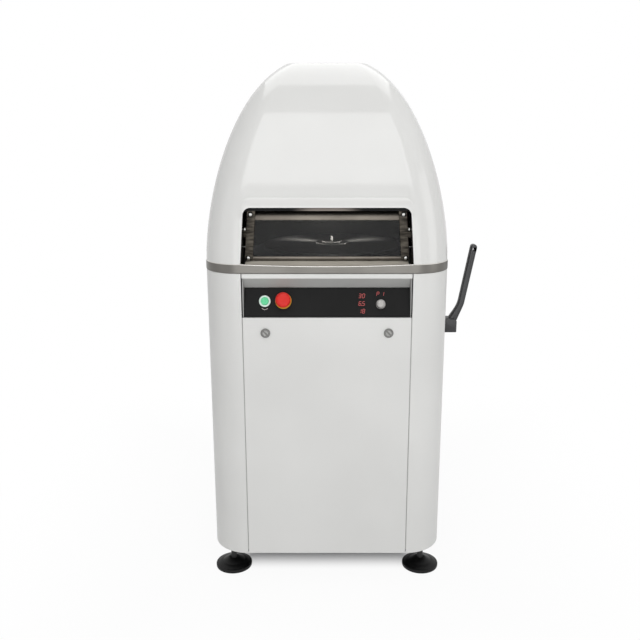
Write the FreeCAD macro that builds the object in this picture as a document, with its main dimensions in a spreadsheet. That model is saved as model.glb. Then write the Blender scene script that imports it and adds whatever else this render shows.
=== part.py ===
import FreeCAD, Part
import math
import os
import re

import Sketcher

# A floor-standing dough divider and rounder. Millimetres, +Z up, front towards -Y, right side towards +X.
# The origin lies on the floor, in the middle between the four feet.

Vector = FreeCAD.Vector
X_AXIS = Vector(1, 0, 0)
Y_AXIS = Vector(0, 1, 0)
Z_AXIS = Vector(0, 0, 1)

doc = FreeCAD.newDocument("divider_rounder")
sheet = doc.addObject("Spreadsheet::Sheet", "sizes")

# Driving dimensions, by assembly
SIZES = {
    "casing": {
        "body_width": 640, "body_depth": 690, "corner_radius": 98, "sheet_metal": 2, "casing_bottom": 70,
        "belt_bottom": 865, "belt_height": 25, "belt_thick": 6, "belt_proud": 1, "scallop_depth": 5,
        "door_margin": 3.5, "door_depth": 20, "seam_gap": 2, "fit_gap": 0.3, "run_gap": 0.05,
        "louvre_width": 150, "louvre_height": 6, "louvre_pitch": 18, "louvre_count": 9,
        "louvre_drop": 305, "louvre_spacing": 36,
    },
    "frame": {
        "plate_thick": 6, "plate_rise": 4, "post_side": 35, "post_wall": 3, "post_inset_x": 58,
        "post_inset_y": 95, "rail_depth": 20, "rail_height": 40, "rail_drop": 165, "deck_thick": 10,
        "foot_inset_x": 52, "foot_inset_y": 57, "foot_radius": 51, "foot_chamfer": 2, "foot_rim": 9,
        "foot_height": 25, "foot_top_radius": 15, "stem_radius": 8, "stem_seat": 12, "stem_proud": 40,
        "nut_radius": 14, "nut_height": 10,
    },
    "hood": {
        "hood_crown": 530, "hood_height": 506, "hood_wall": 5, "hood_axis_y": 60, "hood_rise_power": 1.7,
        "hood_round_power": 2.4, "hood_sections": 9, "crown_fillet": 22, "opening_margin": 0.5,
        "opening_taper": 19, "opening_height": 141, "opening_radius": 16, "liner_wall": 3, "liner_depth": 36,
        "sill_margin": 9, "sill_flat": 60, "sill_depth": 83, "sill_front_rise": 5, "sill_rise": 14,
        "bracket_x": 120, "bracket_width": 40, "bracket_height": 34, "bracket_thick": 4, "bracket_gap": 0.8,
        "screw_radius": 3, "screw_head": 6, "screw_head_height": 3, "screw_end": 2, "hood_screw_rise": 15,
    },
    "console": {
        "console_drop": 113, "console_slope": 77, "console_tilt": 21, "header_height": 12,
        "console_margin": 3.5, "console_plate": 3, "header_depth": 25, "cheek_thick": 2, "cheek_depth": 32,
        "start_x": 161, "start_along": 41, "start_radius": 10, "start_bezel_radius": 15,
        "start_bezel_height": 4,
        "start_proud": 7, "start_depth": 10, "cap_chamfer": 1, "stop_x": 113, "stop_along": 42,
        "stop_radius": 20, "stop_stem_radius": 8, "stop_collar_radius": 21, "stop_collar_height": 6,
        "stop_lift": 12, "stop_head_height": 17, "stop_edge": 4, "stop_depth": 12, "knob_x": 139,
        "knob_along": 33, "knob_radius": 12.5, "knob_height": 15, "knob_lift": 1, "knob_edge": 1.5,
        "knob_stem_radius": 3, "knob_depth": 12, "pointer_width": 1.5, "display_x": 90, "display_width": 24,
        "display_height": 17, "display_thick": 1, "display_pitch": 20, "display_along": 15, "program_x": 138,
        "program_along": 60, "box_width": 230, "box_height": 150, "box_depth": 50,
    },
    "door_locks": {
        "lock_x": 160, "lock_drop": 41, "lock_bezel_radius": 12.5, "lock_bezel_height": 3,
        "lock_barrel_radius": 11, "lock_core_radius": 8, "lock_barrel_length": 22, "core_recess": 0.5,
        "cam_length": 50, "cam_width": 12, "cam_thick": 4, "slot_width": 3, "slot_depth": 2,
        "keeper_width": 24, "keeper_depth": 9, "keeper_height": 22, "keeper_gap": 1.5,
    },
    "guard": {
        "guard_setback": 60, "guard_gap": 1, "guard_height": 129, "guard_margin": 7, "low_rail": 10,
        "high_rail": 25, "guard_rail_depth": 12, "window_thick": 4, "window_inset": 2, "side_plate_width": 21,
        "side_plate_thick": 2, "cap_nut_radius": 6.5, "cap_nut_height": 4, "cap_dome": 4, "cap_inset": 9,
        "pivot_rise": 81, "pivot_radius": 4, "pivot_head": 2.5, "pivot_end": 1, "lug_gap": 2,
        "lug_depth": 12, "lug_height": 26, "lug_crown": 5,
        "guard_bracket_lap": 1.5, "guard_bracket_thick": 4, "guard_bracket_depth": 24,
        "guard_bracket_crown": 13, "stop_pin_radius": 1.5, "stop_pin_rise": 35, "stop_pin_lap": 2,
    },
    "lever": {
        "lever_setback": 175, "lever_z": 688, "lever_shaft_radius": 12, "bush_radius": 17,
        "bush_flange_radius": 25, "bush_flange": 3, "bush_length": 22, "hub_width": 39, "hub_depth": 44,
        "hub_height": 37, "hub_chamfer": 5, "hub_round": 3, "arm_depth": 24, "arm_thick": 17, "arm_foot": 24,
        "arm_foot_reach": 31, "arm_bend_reach": 54, "arm_tip_reach": 85, "arm_bend_rise": 58,
        "arm_tip_rise": 229, "arm_tip_slant": 4, "arm_bend_radius": 60, "arm_tip_radius": 8,
        "arm_eye_radius": 5.5, "arm_eye_drop": 15, "crank_radius": 20, "crank_end": 12, "crank_thick": 12,
        "crank_reach": 70, "crank_inset": 58, "shaft_reach": 31, "shaft_room": 1,
    },
    "chamber": {
        "chamber_setback": 325, "chamber_radius": 232, "chamber_sheet": 2, "chamber_height": 115,
        "chamber_cut": 60, "table_gap": 18, "table_thick": 12, "table_boss_radius": 46,
        "table_boss_height": 4,
        "table_step_radius": 28, "table_step_height": 4, "table_pin_radius": 3.5, "table_pin_height": 13,
        "orbit": 14, "crank_disc_radius": 45, "crank_disc_thick": 8, "crank_disc_gap": 0.5,
        "orbit_pin_radius": 18, "orbit_pin_length": 10, "idler_reach": 120, "idler_disc_radius": 30,
        "idler_pin_radius": 9, "idler_journal_radius": 14, "idler_journal_length": 40,
    },
    "drive": {
        "spindle_radius": 25, "spindle_drop": 305, "housing_radius": 60, "housing_flange_radius": 95,
        "housing_flange": 12, "housing_height": 165, "deck_hole_radius": 62, "pulley_radius": 110,
        "pulley_width": 36, "pulley_drop": 263, "pulley_groove": 3, "pulley_rim": 3,
        "motor_pulley_radius": 35,
        "belt_centres": 210, "motor_radius": 75, "motor_height": 190, "motor_plate_gap": 22,
        "motor_plate_thick": 8, "motor_plate_reach": 75, "motor_plate_lap": 15, "motor_shaft_radius": 14,
        "motor_shaft_gap": 2,
        "terminal_width": 90, "terminal_height": 64, "terminal_lift": 57, "belt_drive_thick": 5,
        "belt_drive_gap": 0.4, "tank_width": 150, "tank_depth": 170, "tank_height": 170, "tank_inset": 155,
        "tank_setback": 235, "pump_radius": 52, "pump_height": 130,
    },
    "press": {
        "column_inset": 115, "column_reach": 195, "column_radius": 22, "column_height": 315, "head_thick": 20,
        "head_side_margin": 30, "head_front_reach": 55, "head_back_margin": 40, "cylinder_radius": 45,
        "cylinder_height": 120, "rod_radius": 20, "rod_proud": 90, "press_lift": 104, "press_thick": 16,
        "press_gap": 2, "press_hub_radius": 62, "knife_count": 10, "knife_thick": 2, "knife_slot": 5,
        "knife_hub_gap": 6, "knife_margin": 1, "knife_ring_wall": 3, "knife_lift": 89, "knife_height": 115,
        "carrier_width": 51, "carrier_thick": 10, "knife_rod_radius": 10, "knife_rod_proud": 80,
    },
    "supply": {
        "gland_x": 150, "gland_rise": 70, "gland_radius": 14, "gland_nut_length": 12, "gland_length": 32,
        "gland_barrel_radius": 10, "gland_bore_radius": 5, "gland_inside": 8, "rear_screw_inset": 13.5,
        "rear_screw_rise": 25,
    },
}

# Lines and widths that follow from the driving dimensions
DERIVED = {
    "front": "(-body_depth / 2)",
    "back": "(body_depth / 2)",
    "wall": "(body_width / 2)",
    "flat_width": "(body_width - 2 * corner_radius)",
    "door_width": "(flat_width - 2 * door_margin)",
    "console_width": "(door_width - 2 * console_margin)",
    "belt_top": "(belt_bottom + belt_height)",
    "belt_inset": "(belt_thick - belt_proud)",
    "plate_bottom": "(casing_bottom + plate_rise)",
    "plate_top": "(plate_bottom + plate_thick)",
    "deck_top": "(belt_bottom + deck_thick)",
    "panel_height": "(belt_bottom - casing_bottom)",
    "post_x": "(wall - post_inset_x)",
    "post_y": "(back - post_inset_y)",
    "post_height": "(belt_bottom - plate_top)",
    "rail_bottom": "(belt_bottom - rail_drop)",
    "rail_face": "(-post_y - rail_depth / 2)",
    "opening_bottom": "(flat_width - 2 * opening_margin)",
    "opening_top": "(opening_bottom - opening_taper)",
    "dome_foot": "(belt_top + opening_height)",
    "skirt_seam": "(opening_top / 2 - opening_radius - hood_wall)",
    "scallop_radius": "(((opening_bottom / 2)^2 + scallop_depth^2) / (2 * scallop_depth))",
    "hood_bracket_y": "(back - hood_wall - bracket_gap - bracket_thick / 2)",
    "sill_front": "(front + belt_thick + fit_gap)",
    "console_bottom": "(belt_bottom - console_drop)",
    "console_top": "(belt_bottom - header_height)",
    "header_top": "(belt_bottom - fit_gap)",
    "soffit_front": "(front + sheet_metal + fit_gap)",
    "stop_top": "(stop_lift + stop_head_height)",
    "knob_top": "(knob_lift + knob_height)",
    "fold_y": "(front + console_slope * sin(console_tilt))",
    "fold_z": "(console_bottom + console_slope * cos(console_tilt))",
    "door_top": "(console_bottom - seam_gap)",
    "door_shelf": "(plate_top + fit_gap)",
    "lock_z": "(door_top - lock_drop)",
    "core_face": "(front - lock_bezel_height + core_recess)",
    "cam_face": "(front + lock_barrel_length + fit_gap)",
    "guard_y": "(front + guard_setback)",
    "guard_face": "(guard_y - guard_rail_depth / 2)",
    "guard_bottom": "(belt_top + guard_gap)",
    "guard_top": "(guard_bottom + guard_height)",
    "guard_slope": "(opening_taper / 2 / guard_height)",
    "pivot_z": "(guard_bottom + pivot_rise)",
    "window_low": "(guard_bottom + low_rail)",
    "window_high": "(guard_top - high_rail)",
    "guard_bracket_x": "(opening_bottom / 2 - guard_bracket_lap)",
    "stop_pin_z": "(guard_bottom + stop_pin_rise)",
    "lug_outer": "(guard_bracket_x - lug_gap)",
    "lever_y": "(front + lever_setback)",
    "lever_foot_x": "(wall + arm_foot_reach)",
    "lever_bend_x": "(wall + arm_bend_reach)",
    "lever_tip_x": "(wall + arm_tip_reach)",
    "lever_bend_z": "(lever_z + arm_bend_rise)",
    "lever_tip_z": "(lever_z + arm_tip_rise)",
    "crank_x": "(wall - crank_inset)",
    "hub_start": "(wall + bush_flange + fit_gap)",
    "hub_top": "(lever_z + hub_height / 2)",
    "chamber_y": "(front + chamber_setback)",
    "idler_y": "(chamber_y + idler_reach)",
    "motor_y": "(chamber_y + belt_centres)",
    "disc_bottom": "(deck_top + crank_disc_gap)",
    "pin_bottom": "(disc_bottom + crank_disc_thick)",
    "table_bottom": "(pin_bottom + crank_disc_gap)",
    "table_top": "(table_bottom + table_thick)",
    "table_radius": "(chamber_radius - orbit - table_gap)",
    "spindle_bottom": "(belt_bottom - spindle_drop)",
    "housing_bottom": "(belt_bottom - housing_height)",
    "pulley_bottom": "(belt_bottom - pulley_drop)",
    "plate_front": "(motor_y - motor_plate_reach)",
    "plate_back": "(post_y + motor_plate_lap)",
    "tank_x": "(tank_inset - wall)",
    "tank_y": "(back - tank_setback)",
    "motor_top": "(pulley_bottom - motor_plate_gap - motor_plate_thick)",
    "column_x": "(wall - column_inset)",
    "column_y": "(chamber_y + column_reach)",
    "head_bottom": "(deck_top + column_height)",
    "head_top": "(head_bottom + head_thick)",
    "press_bottom": "(table_top + press_lift)",
    "press_top": "(press_bottom + press_thick)",
    "knife_ring_inner": "(table_radius + knife_margin)",
    "knife_outer": "(knife_ring_inner + knife_ring_wall)",
    "press_radius": "(knife_ring_inner - press_gap)",
    "knife_bottom": "(table_top + knife_lift)",
    "knife_top": "(knife_bottom + knife_height)",
    "carrier_inner": "(knife_ring_inner - carrier_width)",
    "knife_rod_x": "((carrier_inner + knife_outer) / 2)",
    "gland_z": "(casing_bottom + gland_rise)",
}

aliases = set()
row = 0
for group, values in SIZES.items():
    row += 1
    sheet.set(f"A{row}", group)
    for alias, number in values.items():
        row += 1
        sheet.set(f"A{row}", alias.replace("_", " "))
        sheet.set(f"B{row}", str(number))
        sheet.setAlias(f"B{row}", alias)
        aliases.add(alias)
doc.recompute()


def expression(words):
    # Spells a formula out in cells of the sheet.
    spelled = str(words)
    while any(name in DERIVED for name in re.findall(r"[a-z_]+", spelled)):
        spelled = re.sub(r"[a-z_]+", lambda m: DERIVED.get(m[0], m[0]), spelled)
    return re.sub(r"[a-z_]+", lambda m: "sizes." + m[0] if m[0] in aliases else m[0], spelled)


def value(words):
    return float(sheet.evalExpression(expression(words)))


def bind(feature, **formulas):
    for name, words in formulas.items():
        feature.setExpression(name, expression(words))
    return feature


def place(feature, x=0, y=0, z=0, axis=None, angle=0):
    if axis is not None:
        feature.Placement = FreeCAD.Placement(Vector(), FreeCAD.Rotation(axis, value(angle)))
        feature.setExpression("Placement.Rotation.Angle", expression(angle))
    for letter, words in zip("xyz", (x, y, z)):
        feature.setExpression(f"Placement.Base.{letter}", expression(words))
    return feature


# Building blocks
def block(length, width, height, x=0, y=0, z=0):
    # A box with its middle at x and y, standing on z.
    box = bind(doc.addObject("Part::Box", "block"), Length=length, Width=width, Height=height)
    return place(box, f"({x}) - ({length}) / 2", f"({y}) - ({width}) / 2", z)


def rod(radius, height, x=0, y=0, z=0, along="Z"):
    # A cylinder that starts at the given point and runs along +X, +Y or +Z.
    cylinder = bind(doc.addObject("Part::Cylinder", "rod"), Radius=radius, Height=height)
    turn = {"X": (Y_AXIS, 90), "Y": (X_AXIS, -90), "Z": (None, 0)}[along]
    return place(cylinder, x, y, z, *turn)


def join(*features):
    fused = doc.addObject("Part::MultiFuse", "joined")
    fused.Shapes = list(features)
    fused.Refine = True
    return fused


def cut(base, *tools):
    cutter = doc.addObject("Part::Cut", "cut")
    cutter.Base = base
    cutter.Tool = tools[0] if len(tools) == 1 else group_of(*tools)
    cutter.Refine = True
    return cutter


def group_of(*features):
    compound = doc.addObject("Part::Compound", "group")
    compound.Links = list(features)
    return compound


def common(first, second):
    shared = doc.addObject("Part::Common", "shared")
    shared.Base = first
    shared.Tool = second
    return shared


def ring(outer, inner, height, x=0, y=0, z=0, along="Z"):
    return cut(rod(outer, height, x, y, z, along), rod(inner, height, x, y, z, along))


def origin_plane(body, role):
    return next(plane for plane in body.Origin.OriginFeatures if plane.Role == role)


def tie(sketch, index, name, words):
    sketch.renameConstraint(index, name)
    sketch.setExpression(f"Constraints.{name}", expression(words))


def draw_outline(sketch, corners):
    # Draws a closed outline. A corner is (x, y) or (x, y, radius), each a formula tied to the sheet.
    points = [Vector(value(c[0]), value(c[1]), 0) for c in corners]
    count = len(corners)
    starts, ends, arcs = [], [], {}
    for i, corner in enumerate(corners):
        before = (points[i - 1] - points[i]).normalize()
        after = (points[(i + 1) % count] - points[i]).normalize()
        if len(corner) == 2:
            ends.append(points[i])
            starts.append(points[i])
            continue
        half = before.getAngle(after) / 2
        radius = value(corner[2])
        reach = radius / math.tan(half)
        ends.append(points[i] + before * reach)
        starts.append(points[i] + after * reach)
        middle = (before + after).normalize()
        centre = points[i] + middle * (radius / math.sin(half))
        left_turn = after.cross(before).z > 0
        first, last = (ends[i], starts[i]) if left_turn else (starts[i], ends[i])
        arcs[i] = (Part.Arc(first, centre - middle * radius, last), 1 if left_turn else 2)
    lines = [sketch.addGeometry(Part.LineSegment(starts[i], ends[(i + 1) % count])) for i in range(count)]
    for i, corner in enumerate(corners):
        into, out = lines[i - 1], lines[i]
        if i in arcs:
            curve, first = arcs[i]
            arc = sketch.addGeometry(curve)
            mark = sketch.addGeometry(Part.Point(points[i]), True)
            sketch.addConstraint(Sketcher.Constraint("Tangent", into, 2, arc, first))
            sketch.addConstraint(Sketcher.Constraint("Tangent", out, 1, arc, 3 - first))
            sketch.addConstraint(Sketcher.Constraint("PointOnObject", mark, 1, into))
            sketch.addConstraint(Sketcher.Constraint("PointOnObject", mark, 1, out))
            index = sketch.addConstraint(Sketcher.Constraint("Radius", arc, value(corner[2])))
            tie(sketch, index, f"radius_{i}", corner[2])
            anchor = (mark, 1)
        else:
            sketch.addConstraint(Sketcher.Constraint("Coincident", into, 2, out, 1))
            anchor = (out, 1)
        for kind, words in zip(("DistanceX", "DistanceY"), corner):
            index = sketch.addConstraint(Sketcher.Constraint(kind, -1, 1, *anchor, value(words)))
            tie(sketch, index, f"{kind}_{i}", words)


def sketched_body(corners, role):
    body = doc.addObject("PartDesign::Body", "body")
    sketch = body.newObject("Sketcher::SketchObject", "outline")
    sketch.AttachmentSupport = [(origin_plane(body, role), "")]
    sketch.MapMode = "FlatFace"
    draw_outline(sketch, corners)
    return body, sketch


def padded(corners, length, role="XY_Plane", x=0, y=0, z=0):
    # An outline extruded along +Z, +X or, on the XZ plane, +Y, and moved to its place.
    body, sketch = sketched_body(corners, role)
    pad = body.newObject("PartDesign::Pad", "pad")
    pad.Profile = sketch
    pad.Reversed = role == "XZ_Plane"
    bind(pad, Length=length)
    return place(body, x, y, z)


def turned(corners, x=0, y=0, z=0, axis=None, angle=0):
    # An outline of radius and height, turned about its own upright axis.
    body, sketch = sketched_body(corners, "XZ_Plane")
    revolution = body.newObject("PartDesign::Revolution", "revolution")
    revolution.Profile = sketch
    revolution.ReferenceAxis = (sketch, ["V_Axis"])
    revolution.Angle = 360
    return place(body, x, y, z, axis, angle)


def casing_slab(inset, height, z):
    # A slab with the casing's outline, drawn in by an inset.
    half_x, half_y = f"(wall - ({inset}))", f"(back - ({inset}))"
    radius = f"corner_radius - ({inset})"
    corners = ((-1, -1), (1, -1), (1, 1), (-1, 1))
    return padded([(f"{sx} * {half_x}", f"{sy} * {half_y}", radius) for sx, sy in corners], height, z=z)


subparts = {}


def part(label, feature):
    feature.Label = label
    subparts[label] = feature
    return feature


BOTH_SIDES = (-1, 1)
FOUR_CORNERS = [(sx, sy) for sx in BOTH_SIDES for sy in BOTH_SIDES]


# Feet: a low cone of a disc, a threaded stem and a lock nut under the base plate
def foot_disc(x, y):
    return turned(
        [
            (0, 0), ("foot_radius - foot_chamfer", 0), ("foot_radius", "foot_chamfer"),
            ("foot_radius", "foot_rim"), ("foot_top_radius", "foot_height"),
            ("stem_radius + fit_gap", "foot_height"), ("stem_radius + fit_gap", "stem_seat"),
            (0, "stem_seat"),
        ],
        x, y,
    )


def lock_nut(x, y):
    prism = bind(doc.addObject("Part::Prism", "nut"), Circumradius="nut_radius", Height="nut_height")
    prism.Polygon = 6
    place(prism, x, y, "plate_bottom - nut_height")
    return cut(prism, rod("stem_radius + run_gap", "nut_height", x, y, "plate_bottom - nut_height"))


feet = [(f"{sx} * (wall - foot_inset_x)", f"{sy} * (back - foot_inset_y)") for sx, sy in FOUR_CORNERS]
stems = [rod("stem_radius", "plate_top + stem_proud - stem_seat", x, y, "stem_seat") for x, y in feet]
part("foot_discs", group_of(*[foot_disc(x, y) for x, y in feet]))
part("foot_stems", group_of(*stems))
part("foot_lock_nuts", group_of(*[lock_nut(x, y) for x, y in feet]))


# Base plate, posts with their front rail, and the deck that carries the working chamber
stem_holes = [rod("stem_radius + fit_gap", "plate_thick", x, y, "plate_bottom") for x, y in feet]
part("base_plate", cut(casing_slab("sheet_metal + fit_gap", "plate_thick", "plate_bottom"), *stem_holes))


def post(sx, sy):
    x, y = f"{sx} * post_x", f"{sy} * post_y"
    inside = "post_side - 2 * post_wall"
    return cut(
        block("post_side", "post_side", "post_height", x, y, "plate_top"),
        block(inside, inside, "post_height", x, y, "plate_top"),
    )


front_rail = block("2 * post_x - post_side", "rail_depth", "rail_height", 0, "-post_y", "rail_bottom")
part("support_frame", group_of(*[post(sx, sy) for sx, sy in FOUR_CORNERS], front_rail))
deck_holes = [
    rod("deck_hole_radius", "deck_thick", 0, "chamber_y", "belt_bottom"),
    rod("idler_journal_radius + run_gap", "deck_thick", 0, "idler_y", "belt_bottom"),
]
part("deck_plate", cut(casing_slab("belt_inset + fit_gap", "deck_thick", "belt_bottom"), *deck_holes))


# Casing: two side panels that wrap round the corners, a rear panel and the steel band above them
def side_panel(side):
    seam = f"{side} * (door_width / 2 + seam_gap)"
    outer = f"{side} * wall"
    inner = f"{side} * (wall - sheet_metal)"
    inner_radius = "corner_radius - sheet_metal"
    inner_front = "front + sheet_metal"
    inner_back = "back - sheet_metal"
    outline = [
        (seam, "front"), (outer, "front", "corner_radius"), (outer, "back", "corner_radius"), (seam, "back"),
        (seam, inner_back), (inner, inner_back, inner_radius), (inner, inner_front, inner_radius),
        (seam, inner_front),
    ]
    return padded(outline, "panel_height", z="casing_bottom")


part("left_side_panel", side_panel(-1))
bush_hole = rod(
    "bush_radius + fit_gap", "4 * sheet_metal", "wall - 2 * sheet_metal", "lever_y", "lever_z", "X"
)
part("right_side_panel", cut(side_panel(1), bush_hole))

rear_sheet = block("door_width", "sheet_metal", "panel_height", 0, "back - sheet_metal / 2", "casing_bottom")
louvres = [
    block(
        "louvre_width", "3 * sheet_metal", "louvre_height", f"{side} * (louvre_width + louvre_spacing) / 2",
        "back", f"belt_bottom - louvre_drop + {i} * louvre_pitch",
    )
    for side in BOTH_SIDES for i in range(int(value("louvre_count")))
]
gland_hole = rod(
    "gland_barrel_radius + fit_gap", "3 * sheet_metal", "gland_x", "back - 2 * sheet_metal", "gland_z", "Y"
)
part("rear_panel", cut(rear_sheet, gland_hole, *louvres))

belt_outer = casing_slab("-belt_proud", "belt_height", "belt_bottom")
belt_inner = casing_slab("belt_inset", "belt_height", "belt_bottom")
scallop = rod(
    "scallop_radius", "4 * belt_thick", 0, "front - 2 * belt_thick",
    "belt_top - scallop_depth + scallop_radius", "Y",
)
part("belt_band", cut(belt_outer, belt_inner, scallop))


# Hood: every level is the casing's outline, drawn in towards an upright axis by one rounded curve. The dome
# stands on a skirt of two sides and a rear wall, with the loading opening in front.
def hood_scale(rise):
    share = rise / value("hood_crown")
    return (1 - share ** value("hood_rise_power")) ** (1 / value("hood_round_power"))


def hood_level(rise, inset):
    scale = hood_scale(rise)
    axis_y = value("hood_axis_y")
    right = value("wall") * scale - inset
    front = axis_y + (value("front") - axis_y) * scale + inset
    back = axis_y + (value("back") - axis_y) * scale - inset
    radius = value("corner_radius") * scale - inset
    height = value("belt_top") + rise
    corners = [(-right, front, 1, 1), (right, front, -1, 1), (right, back, -1, -1), (-right, back, 1, -1)]
    edges = []
    stops = []
    for i, (x, y, inward_x, inward_y) in enumerate(corners):
        along_x = Vector(x + inward_x * radius, y, height)
        along_y = Vector(x, y + inward_y * radius, height)
        diagonal = radius * (1 - math.sqrt(0.5))
        middle = Vector(x + inward_x * diagonal, y + inward_y * diagonal, height)
        begin, end = (along_y, along_x) if i % 2 == 0 else (along_x, along_y)
        stops.append((begin, end))
        edges.append(Part.Arc(begin, middle, end).toShape())
        if i:
            edges.insert(-1, Part.LineSegment(stops[i - 1][1], begin).toShape())
    edges.append(Part.LineSegment(stops[-1][1], stops[0][0]).toShape())
    return Part.Wire(edges)


def hood_form(label, inset):
    # The hood's outer form, or its cavity when drawn in by the wall.
    top = value("hood_height") - inset
    count = int(value("hood_sections"))
    rises = [top * math.sin(math.pi / 2 * i / (count - 1)) for i in range(count)]
    solid = Part.makeLoft([hood_level(rise, inset) for rise in rises], True, False)
    crown = max(solid.Faces, key=lambda face: face.CenterOfMass.z)
    feature = doc.addObject("Part::Feature", label)
    feature.Shape = solid.makeFillet(value("crown_fillet") - inset, crown.Edges)
    return feature


def opening_prism(grow, depth, y):
    # The loading opening, wider at the foot, grown on all sides by a margin.
    half_foot = f"(opening_bottom / 2 + {grow})"
    half_head = f"(opening_top / 2 + {grow})"
    head = f"opening_height + {grow}"
    radius = f"opening_radius + {grow}"
    outline = [
        (f"-{half_foot}", "-fit_gap"), (half_foot, "-fit_gap"), (half_head, head, radius),
        (f"-{half_head}", head, radius),
    ]
    return padded(outline, depth, "XZ_Plane", 0, y, "belt_top")


hood_outer = hood_form("hood_outer", 0)
hood_cavity = hood_form("hood_cavity", value("hood_wall"))
hood_clear = hood_form("hood_clear", value("hood_wall + fit_gap"))
hood_screws = [(f"{side} * bracket_x", "belt_top + hood_screw_rise") for side in BOTH_SIDES]
screw_holes = [
    rod("screw_radius + fit_gap", "4 * hood_wall", x, "back - 3 * hood_wall", z, "Y") for x, z in hood_screws
]
opening = opening_prism("0", "body_depth / 4", "front - 4 * hood_wall")
hood_walls = cut(cut(hood_outer, hood_cavity), opening, *screw_holes)
dome_room = block("2 * body_width", "2 * body_depth", "hood_height", 0, 0, "dome_foot")
part("hood", common(hood_walls, dome_room))
side_rooms = [
    block("body_width", "2 * body_depth", "opening_height", f"{side} * (skirt_seam + wall)", 0, "belt_top")
    for side in BOTH_SIDES
]
rear_room = block("2 * skirt_seam", "body_depth", "opening_height", 0, "back", "belt_top")
part("hood_skirt", group_of(*[common(hood_walls, room) for room in (*side_rooms, rear_room)]))

liner_tube = cut(
    opening_prism("liner_wall", "liner_depth", "front"), opening_prism("0", "liner_depth", "front")
)
part("opening_liner", common(liner_tube, hood_clear))

hood_brackets = [
    cut(
        block("bracket_width", "bracket_thick", "bracket_height", x, "hood_bracket_y", "deck_top"),
        rod("screw_radius + run_gap", "2 * bracket_thick", x, "hood_bracket_y - bracket_thick", z, "Y"),
    )
    for x, z in hood_screws
]
part("hood_brackets", group_of(*hood_brackets))


def rear_screw(x, z, face, depth):
    # A pan-head screw driven in from behind.
    head = rod("screw_head", "screw_head_height", x, face, z, "Y")
    return join(head, rod("screw_radius", depth, x, f"{face} - ({depth})", z, "Y"))


screw_depth = "hood_wall + bracket_gap + bracket_thick + screw_end"
rear_screws = [rear_screw(x, z, "back + fit_gap", screw_depth) for x, z in hood_screws]
panel_screw_levels = ("casing_bottom + rear_screw_rise", "belt_bottom - rear_screw_rise")
rear_heads = [
    rod("screw_head", "screw_head_height", f"{side} * (door_width / 2 - rear_screw_inset)", "back", z, "Y")
    for side in BOTH_SIDES for z in panel_screw_levels
]
part("rear_screws", group_of(*rear_screws, *rear_heads))

sill_width = "opening_bottom - 2 * sill_margin"
part(
    "entry_sill",
    padded(
        [
            ("sill_front", "deck_top"), ("front + sill_depth", "deck_top"),
            ("front + sill_depth", "deck_top + sill_rise"), ("front + sill_flat", "deck_top + sill_rise"),
            ("sill_front", "deck_top + sill_front_rise"),
        ],
        sill_width, "YZ_Plane", f"-({sill_width}) / 2",
    ),
)


# Console: a recess under the band, with a soffit above and a control panel that leans back
part(
    "console_header",
    padded(
        [
            ("front", "console_top"), ("front", "header_top"), ("front + header_depth", "header_top"),
            ("front + header_depth", "header_top - sheet_metal"),
            ("front + sheet_metal", "header_top - sheet_metal"), ("front + sheet_metal", "console_top"),
        ],
        "door_width", "YZ_Plane", "-door_width / 2",
    ),
)
part(
    "console_soffit",
    padded(
        [
            ("soffit_front", "console_top - fit_gap"), ("fold_y", "fold_z + fit_gap"),
            ("fold_y + sheet_metal", "fold_z + fit_gap"), ("fold_y + sheet_metal", "fold_z + sheet_metal"),
            ("soffit_front + sheet_metal", "console_top + sheet_metal - fit_gap"),
            ("soffit_front", "console_top + sheet_metal - fit_gap"),
        ],
        "console_width", "YZ_Plane", "-console_width / 2",
    ),
)


def on_console(feature, x, along, out):
    # Puts a feature on the control panel: along the slope from its foot, and out from its face.
    return place(
        feature, x,
        f"front + ({along}) * sin(console_tilt) - ({out}) * cos(console_tilt)",
        f"console_bottom + ({along}) * cos(console_tilt) + ({out}) * sin(console_tilt)",
        X_AXIS, "90 - console_tilt",
    )


def console_rod(radius, height, x, along, out):
    cylinder = bind(doc.addObject("Part::Cylinder", "console_rod"), Radius=radius, Height=height)
    return on_console(cylinder, x, along, out)


def console_box(length, width, height, x, along, out):
    # A box centred on x and on its place along the slope.
    box = bind(doc.addObject("Part::Box", "console_box"), Length=length, Width=width, Height=height)
    return on_console(box, f"({x}) - ({length}) / 2", f"({along}) - ({width}) / 2", out)


def console_hole(radius, x, along):
    return console_rod(f"{radius} + fit_gap", "3 * console_plate", x, along, "-2 * console_plate")


panel_sheet = console_box(
    "console_width", "console_slope", "console_plate", 0, "console_slope / 2", "-console_plate"
)
panel_holes = [
    console_hole("start_radius", "-start_x", "start_along"),
    console_hole("stop_stem_radius", "-stop_x", "stop_along"),
    console_hole("knob_stem_radius", "knob_x", "knob_along"),
]
part("console_panel", cut(panel_sheet, *panel_holes))
cheeks = [
    block(
        "cheek_thick", "cheek_depth", "console_top - console_bottom - 2 * fit_gap",
        f"{side} * (console_width / 2 + fit_gap + cheek_thick / 2)", "front + fit_gap + cheek_depth / 2",
        "console_bottom + fit_gap",
    )
    for side in BOTH_SIDES
]
cheek_notch = block(
    "2 * body_width", "sheet_metal + 2 * fit_gap", "3 * sheet_metal", 0, "front + sheet_metal / 2",
    "console_top - sheet_metal",
)
part("console_cheeks", group_of(*[cut(cheek, cheek_notch) for cheek in cheeks]))


def display(x, along):
    return console_box("display_width", "display_height", "display_thick", x, along, 0)


displays = [display("display_x", f"display_along + {i} * display_pitch") for i in range(3)]
part("display_lenses", group_of(*displays, display("program_x", "program_along")))

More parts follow.
